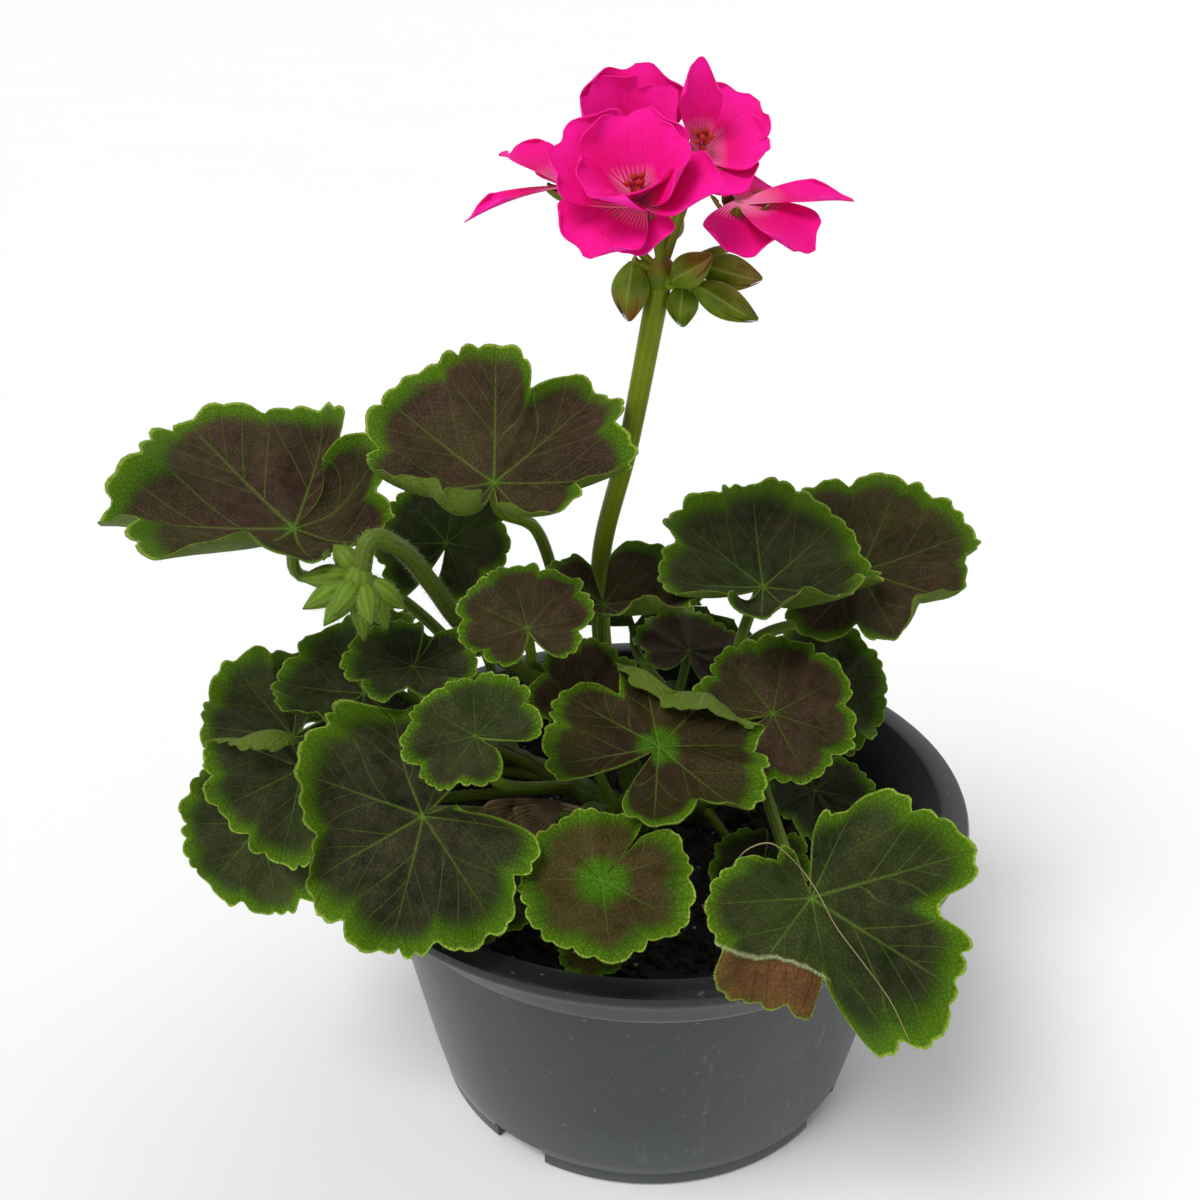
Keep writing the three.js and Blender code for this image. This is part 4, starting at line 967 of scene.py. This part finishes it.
# Each closed bud: its base, its tip and its greatest radius.
BUDS = [
    ((-4.5, -1, 185), (-5, -1, 174), 3.5),
    ((5, -1, 181), (5.2, -1, 173), 3),
    ((8, 1, 184), (20, 2, 181.5), 3.3),
    ((3, -4, 182), (10, -6, 187.5), 3.1),
    ((7, -4, 181.5), (19, -5.5, 175.5), 3),
    ((2, 4, 188), (4, 5, 194), 2.2),
    ((-2, 4, 184), (-6, 8, 177), 2.8),
]
PETAL_ROWS = 26
PETAL_COLUMNS = 19
SPINE_STEPS = 60
CLAW_WIDTH = 0.16  # the petal's width where it starts, as a share of its greatest
PETAL_CUP = 0.14
TIP_ROUND = 0.5
TIP_START = 0.7
PETAL_THICKNESS = 0.25
SEPAL_THICKNESS = 0.3
BUD_SEPAL_THICKNESS = 0.15
SEPAL_ROWS = 14
SEPAL_COLUMNS = 9
BUD_TAPER = 0.85
BUD_GREEN_DARK, BUD_GREEN_PALE = (0.05, 0.095, 0.001), (0.16, 0.24, 0.008)
SEPAL_RIDGE = (0.28, 0.34, 0.06)
SEPAL_RED = (0.30, 0.08, 0.03)


def petal_rows(origin, axes, bearing, lift, length, width, curl, ruffle=0.0):
    """Rows of points over a petal that widens from a claw to a broad round end, and their own map."""
    bearing = math.radians(bearing)
    out = axes[0] * math.cos(bearing) + axes[1] * math.sin(bearing)
    across = np.cross(axes[2], out)
    columns = np.linspace(-1, 1, PETAL_COLUMNS)
    narrow = 0.25 * max(0, 1 - width / length)
    dense = np.linspace(0, 1, SPINE_STEPS)
    angles = np.radians(lift - curl * (dense - 0.3))
    steps = np.stack([np.cos(angles), np.sin(angles)], axis=1) * length / SPINE_STEPS
    spine = np.concatenate([[[0, 0]], np.cumsum(steps, axis=0)])[:SPINE_STEPS]
    rows = []
    for row in np.linspace(0, 1, PETAL_ROWS):
        widening = math.sin(min(1, row * 1.25) * 0.5 * math.pi)
        half = 0.5 * width * (CLAW_WIDTH + (1 - CLAW_WIDTH) * widening)
        half *= math.sqrt(1 - TIP_ROUND * max(0, (row - TIP_START) / (1 - TIP_START)) ** 2)
        rim = 1 + min(1, width / 18) * ruffle * row**4 * np.sin(6 * columns + bearing)
        share = row * (1 - (0.2 + narrow) * row * columns**2) * rim
        ripple = np.sin(4.5 * columns + bearing * 3) * (0.4 + 0.6 * columns**2)
        x, z = (np.interp(share, dense, spine[:, axis]) for axis in (0, 1))
        angle = np.radians(lift - curl * (share - 0.3))
        rise = PETAL_CUP * width * row * columns**2 + 0.6 * ruffle * width * row**3 * ripple
        x, z = x - rise * np.sin(angle), z + rise * np.cos(angle)
        rows.append(origin + np.outer(x, out) + np.outer(half * columns, across) + np.outer(z, axes[2]))
    own = [[(column, row) for column in columns] for row in np.linspace(0, 1, PETAL_ROWS)]
    return np.array(rows), np.array(own)


def bud_patch(base, tip, radius, slot=0, cover=0.0):
    """A closed bud of five twisted ribs, pointed at its tip."""
    places = np.linspace(base, tip, 22)

    def girth(share, angles):
        ribs = 1 + 0.07 * np.abs(np.cos(2.5 * angles + 2 * share))
        return radius * math.sin(math.pi * (0.03 + 0.95 * share) ** BUD_TAPER) * ribs

    return stalk_patch(places, girth, 20, slot, cover)


def sepal_rows(base, tip, radius, turn):
    """Rows of points over one pointed sepal that wraps a bud, and their own map."""
    ahead = (tip - base) / np.linalg.norm(tip - base)
    across = np.cross(ahead, (1, 0, 0) if abs(ahead[0]) < 0.8 else (0, 1, 0))
    across /= np.linalg.norm(across)
    columns = np.linspace(-1, 1, SEPAL_COLUMNS)
    rows = []
    for share in np.linspace(0, 1, SEPAL_ROWS):
        angles = turn + 0.35 * share + columns * 0.8 * (1 - share**2.5)
        girth = radius * math.sin(math.pi * (0.03 + 0.93 * share) ** BUD_TAPER) + 0.14 * (1 - share**4)
        ridge = girth * (1 + 0.09 * (1 - abs(columns)) ** 2)
        side = np.cos(angles)[:, None] * across + np.sin(angles)[:, None] * np.cross(ahead, across)
        rows.append(base + (tip - base) * share + ridge[:, None] * side)
    own = [[(column, share) for column in columns] for share in np.linspace(0, 1, SEPAL_ROWS)]
    return np.array(rows), np.array(own)


bud_skin = Finish("bud_sepals", {"Specular IOR Level": 0.2})
sepal_side = abs(bud_skin.own("X"))
bud_mottle = bud_skin.noise(300, 4)
bud_tone = bud_skin.mix(bud_mottle.ramp(0.1875, 0.8125), BUD_GREEN_DARK, BUD_GREEN_PALE)
bud_tone = bud_skin.mix(sepal_side.ramp(0.16, 0) * 0.6, bud_tone, SEPAL_RIDGE)
rosy = bud_skin.own("Y").ramp(0.35, 0.975) * bud_skin.noise(45, 2).ramp(0.4, 0.6)
bud_tone = bud_skin.mix(rosy * (sepal_side * 0.5 + 0.4), bud_tone, SEPAL_RED)
bud_skin.wear(bud_tone, 0.5, (1 - sepal_side) + bud_mottle, 0.25)
peduncle_flesh = stalk_finish("peduncle_flesh", (0.10, 0.15, 0.002), (0.22, 0.29, 0.006), (0.16, 0.14, 0.008))


def peduncle_radius(share, _):
    """The tall stalk's radius, a little wider at its head."""
    return PEDUNCLE_RADIUS * (1 + 0.1 * share**6)


def pedicel_radius(share, _):
    """A pedicel's radius, wider where it carries its flower or bud."""
    return PEDICEL_RADIUS + 0.7 * share**8


stalk_patches = [
    stalk_patch(along_curve(PEDUNCLE, 60), peduncle_radius, 20, 0, 0.6),
    bud_patch((1, 0, 179), (1, 0, 187), 3, 1, 1),
]
for bloom in BLOOMS.values():
    bloom_axes = frame_of(*bloom["lean"])
    cup = np.array(bloom["at"]) - (THROAT_DEPTH + 0.2) * bloom_axes[2]
    course = along_curve([HEAD, bloom["via"], cup - 5 * bloom_axes[2], cup], 24)
    stalk_patches.append(stalk_patch(course, pedicel_radius, 10, 0, 1))
    for number in range(SEPALS):
        bearing = 360 * (number + 0.5) / SEPALS
        rows, own = petal_rows(cup - 0.6 * bloom_axes[2], bloom_axes, bearing, *SEPAL)
        stalk_patches += sheet_patches(rows, own, SEPAL_THICKNESS, 1, 1, np.ones(rows.shape[:2]))
for base, tip, radius in BUDS:
    core = radius - 0.3
    stalk_patches.append(stalk_patch(along_curve([HEAD, base], 8), pedicel_radius, 10, 0, 1))
    stalk_patches.append(bud_patch(base, tip, core, 1, 0))
    for number in range(SEPALS):
        rows, own = sepal_rows(np.array(base), np.array(tip), core, 2 * math.pi * number / SEPALS)
        furry = np.full(rows.shape[:2], 0.4)
        stalk_patches += sheet_patches(rows, own, BUD_SEPAL_THICKNESS, 1, 1, furry)
flower_stalk = make_piece("tall_flower_stalk", stalk_patches, [peduncle_flesh, bud_skin])
cover_with_down(flower_stalk, 0.7, 0.25, 0.6, 5)
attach(flower_stalk, "root")
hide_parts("flower_stalk")

# ---- the blooms --------------------------------------------------------------------------------
# Brilliant pink flowers of broad petals, thin as tissue, that grow from the throat of each calyx. Darker
# veins fan out over each petal, and pale streaks run into the throat, where red anthers stand.

ANTHERS = 13
FILAMENT_LENGTH = 3.4
FILAMENT_RADII = (0.16, 0.11)
TUFT_RADIUS = 1.7
ANTHER_RADIUS = 0.5
ANTHER_DARK, ANTHER_PALE = (0.28, 0.006, 0.005), (0.52, 0.022, 0.008)
PETAL_RAYS = 3.5  # on either half of a petal
PETAL_FINE_RAYS = 8


def petal_finish(name, deep, bright, pale):
    """Petal flesh: deep along its rays and rim, bright between them, and streaked with pale at its foot. It
    also has painted shade toward its foot, in the bowl, and a painted highlight toward its end.
    """
    finish = Finish(name, {"Specular IOR Level": 0.06})
    across, share = finish.own("X"), finish.own("Y")
    grain = finish.noise(260, 4)
    ray = (across * PETAL_RAYS + 0.5 + (grain - 0.5) * 0.25).ridges()
    ray_fine = (across * PETAL_FINE_RAYS + (grain - 0.5) * 0.4).ridges()
    veins = ray.ramp(0.75, 1) * (1 - share * 0.7)
    veins = (veins + ray_fine.ramp(0.8, 1) * share.ramp(0.3, 0.633) * (1 - share)).clamp()
    # Partly random tone and partly painted light: the share term makes the petal deep toward its foot, as
    # shade in the bowl, and bright toward its end, as a painted highlight.
    depth = (grain * 0.5 + finish.noise(90, 3) * 0.8 + share * 0.7 - 0.62).clamp()
    blush = finish.mix(depth, deep, bright)
    blush = finish.mix(veins * 0.35, blush, deep)
    streak = share.ramp(0.42, 0.1) * ray_fine.ramp(0.2, 0.825)
    blush = finish.mix(streak * 0.75, blush, pale)
    blush = finish.mix(share.ramp(0.96, 1) * 0.4, blush, deep)
    finish.wear(blush, grain * 0.15 + 0.55, (1 - veins) * 0.6 + grain * 0.4, 0.12)
    return finish


petal_face = petal_finish("petal_face", (0.66, 0.0, 0.10), (0.95, 0.012, 0.38), (0.94, 0.5, 0.72))
petal_back = petal_finish("petal_back", (0.74, 0.003, 0.17), (0.95, 0.03, 0.42), (0.93, 0.5, 0.65))
throat_green = stalk_finish("throat", (0.3, 0.12, 0.1), (0.5, 0.2, 0.22), (0.4, 0.05, 0.1))
filament = petal_finish("filament", (0.6, 0.1, 0.25), (0.8, 0.35, 0.5), (0.85, 0.6, 0.65))
pollen = mottled_finish("anther", 1500, 3, ANTHER_DARK, ANTHER_PALE, 0.8, 0.1)

for number, (bloom_name, bloom) in enumerate(BLOOMS.items()):
    bloom_axes = frame_of(*bloom["lean"])
    outward = bloom_axes[2]
    throat = np.array(bloom["at"])
    whole = [bud_patch(throat - THROAT_DEPTH * outward, throat + 0.6 * outward, 1.9, 2)]
    for layer, petal in enumerate(bloom["petals"]):
        rows, own = petal_rows(throat + 0.12 * layer * outward, bloom_axes, *petal, ruffle=0.05)
        whole += sheet_patches(rows, own, PETAL_THICKNESS, 0, 1, np.zeros(rows.shape[:2]))
    piece = make_piece(bloom_name + "_bloom", whole, [petal_face, petal_back, throat_green], 60)
    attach(piece, "root")
    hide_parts("bloom_" + bloom_name)

    if not bloom.get("stamens"):
        continue
    tuft = []
    for i in range(ANTHERS):
        turn = 2 * math.pi * i / ANTHERS + number
        reach = 0.55 + 0.35 * (i % 2)
        side = bloom_axes[0] * math.cos(turn) + bloom_axes[1] * math.sin(turn)
        end = throat + (FILAMENT_LENGTH + 0.9 * (i % 3)) * outward + TUFT_RADIUS * reach * side
        stand = along_curve([throat - outward, throat + 1.5 * outward + 0.5 * reach * side, end], 8)
        tuft.append(stalk_patch(stand, tapered(*FILAMENT_RADII), 8, 0))
        anther_foot, anther_top = end - 0.7 * side - 0.3 * outward, end + 0.7 * side + 0.4 * outward
        tuft.append(bud_patch(anther_foot, anther_top, ANTHER_RADIUS, 1))
    stamens = make_piece(bloom_name + "_stamens", tuft, [filament, pollen])
    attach(stamens, "root")
    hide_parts("stamens_" + bloom_name)

# ---- the young bud head ------------------------------------------------------------------------
# A second stalk that still nods. It arches over, thick with white down, and from its end hangs a cluster of
# small pointed green buds, as downy as the stalk.

NODDING_HEAD = (-55, -24, 130.5)
NODDING_RADII = (2.1, 1.8)
YOUNG_BUD_RADIUS = 2.3
NODDING_STALK = [(-8, 4, 80), (-18, 6, 88), (-32, 2, 100), (-40, -2, 110), (-45, -9, 123), (-49, -18, 134),
                 (-53, -23, 137.5), NODDING_HEAD]
# The tip of each bud, from the head.
YOUNG_BUDS = [
    (-12, 0, -1), (-11, -3, -6), (-7, -4, -9), (0, -2, -13), (5, -3, -10), (8, 0, -7),
    (-6, 5, 4), (-4, -8, -5), (2, 6, -8), (3, -7, -7),
]
young_flesh = stalk_finish("young_stalk_flesh", (0.05, 0.09, 0.004), (0.13, 0.2, 0.015), (0.08, 0.09, 0.01))
young_skin = stalk_finish("young_bud_skin", (0.035, 0.08, 0.002), (0.2, 0.33, 0.02), (0.1, 0.15, 0.01))
arch = stalk_patch(along_curve(NODDING_STALK, 70), tapered(*NODDING_RADII), 18, 0, 1)
young = [arch, bud_patch((-55, -24, 133), (-56, -25, 125), 2.8, 1, 1)]
for bud_tip in YOUNG_BUDS:
    head, bud_way = np.array(NODDING_HEAD), np.array(bud_tip, dtype=float)
    young.append(bud_patch(head + 0.12 * bud_way, head + bud_way, YOUNG_BUD_RADIUS, 1, 1))
young_buds = make_piece("nodding_buds", young, [young_flesh, young_skin])
cover_with_down(young_buds, 2.0, 0.5, 1.1, 8)
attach(young_buds, "root")
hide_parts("young_buds")

# ---- the withered leaf -------------------------------------------------------------------------
# One dead leaf, brown and brittle, still hangs on the front shoot. It has rolled up along its veins.

WITHERED_PLACE = (-17, -30, 84)
WITHERED_LEAN = (35, -60, -84)
WITHERED_THICKNESS = 0.35
WITHERED_STALK_RADIUS = 0.9
# Each roll: bearing, lift, length, width and curl, as a petal's.
WITHERED_ROLLS = [(0, 5, 25, 10, 25), (14, 20, 20, 8, -10)]
DRY_DARK, DRY_PALE, DRY_FIBRE = (0.07, 0.04, 0.016), (0.5, 0.34, 0.17), (0.6, 0.46, 0.26)
dry = Finish("dry_leaf", {"Specular IOR Level": 0.2})
crackle = dry.noise(240, 5)
fibres = (dry.own("X") * 5).ridges()
dry_tone = dry.mix(crackle.ramp(0.222, 0.778), DRY_DARK, DRY_PALE)
dry_tone = dry.mix(fibres.ramp(0.8, 1) * 0.6, dry_tone, DRY_FIBRE)
dry.wear(dry_tone, 0.8, fibres + crackle, 0.6)
dry_axes = frame_of(*WITHERED_LEAN)
dry_origin = np.array(WITHERED_PLACE, dtype=float)
dry_foot = along_curve(SHOOTS["front"], 100)[80]
dry_course = along_curve([dry_foot, dry_origin + dry_axes[0]], 10)
dry_patches = [stalk_patch(dry_course, tapered(WITHERED_STALK_RADIUS, WITHERED_STALK_RADIUS), 10)]
for roll in WITHERED_ROLLS:
    rows, own = petal_rows(dry_origin, dry_axes, *roll, ruffle=0.12)
    dry_patches += sheet_patches(rows, own, WITHERED_THICKNESS, 0, 0, np.zeros(rows.shape[:2]))
withered = make_piece("withered_leaf", dry_patches, [dry], 60)
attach(withered, "root")
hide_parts("leaf_withered")
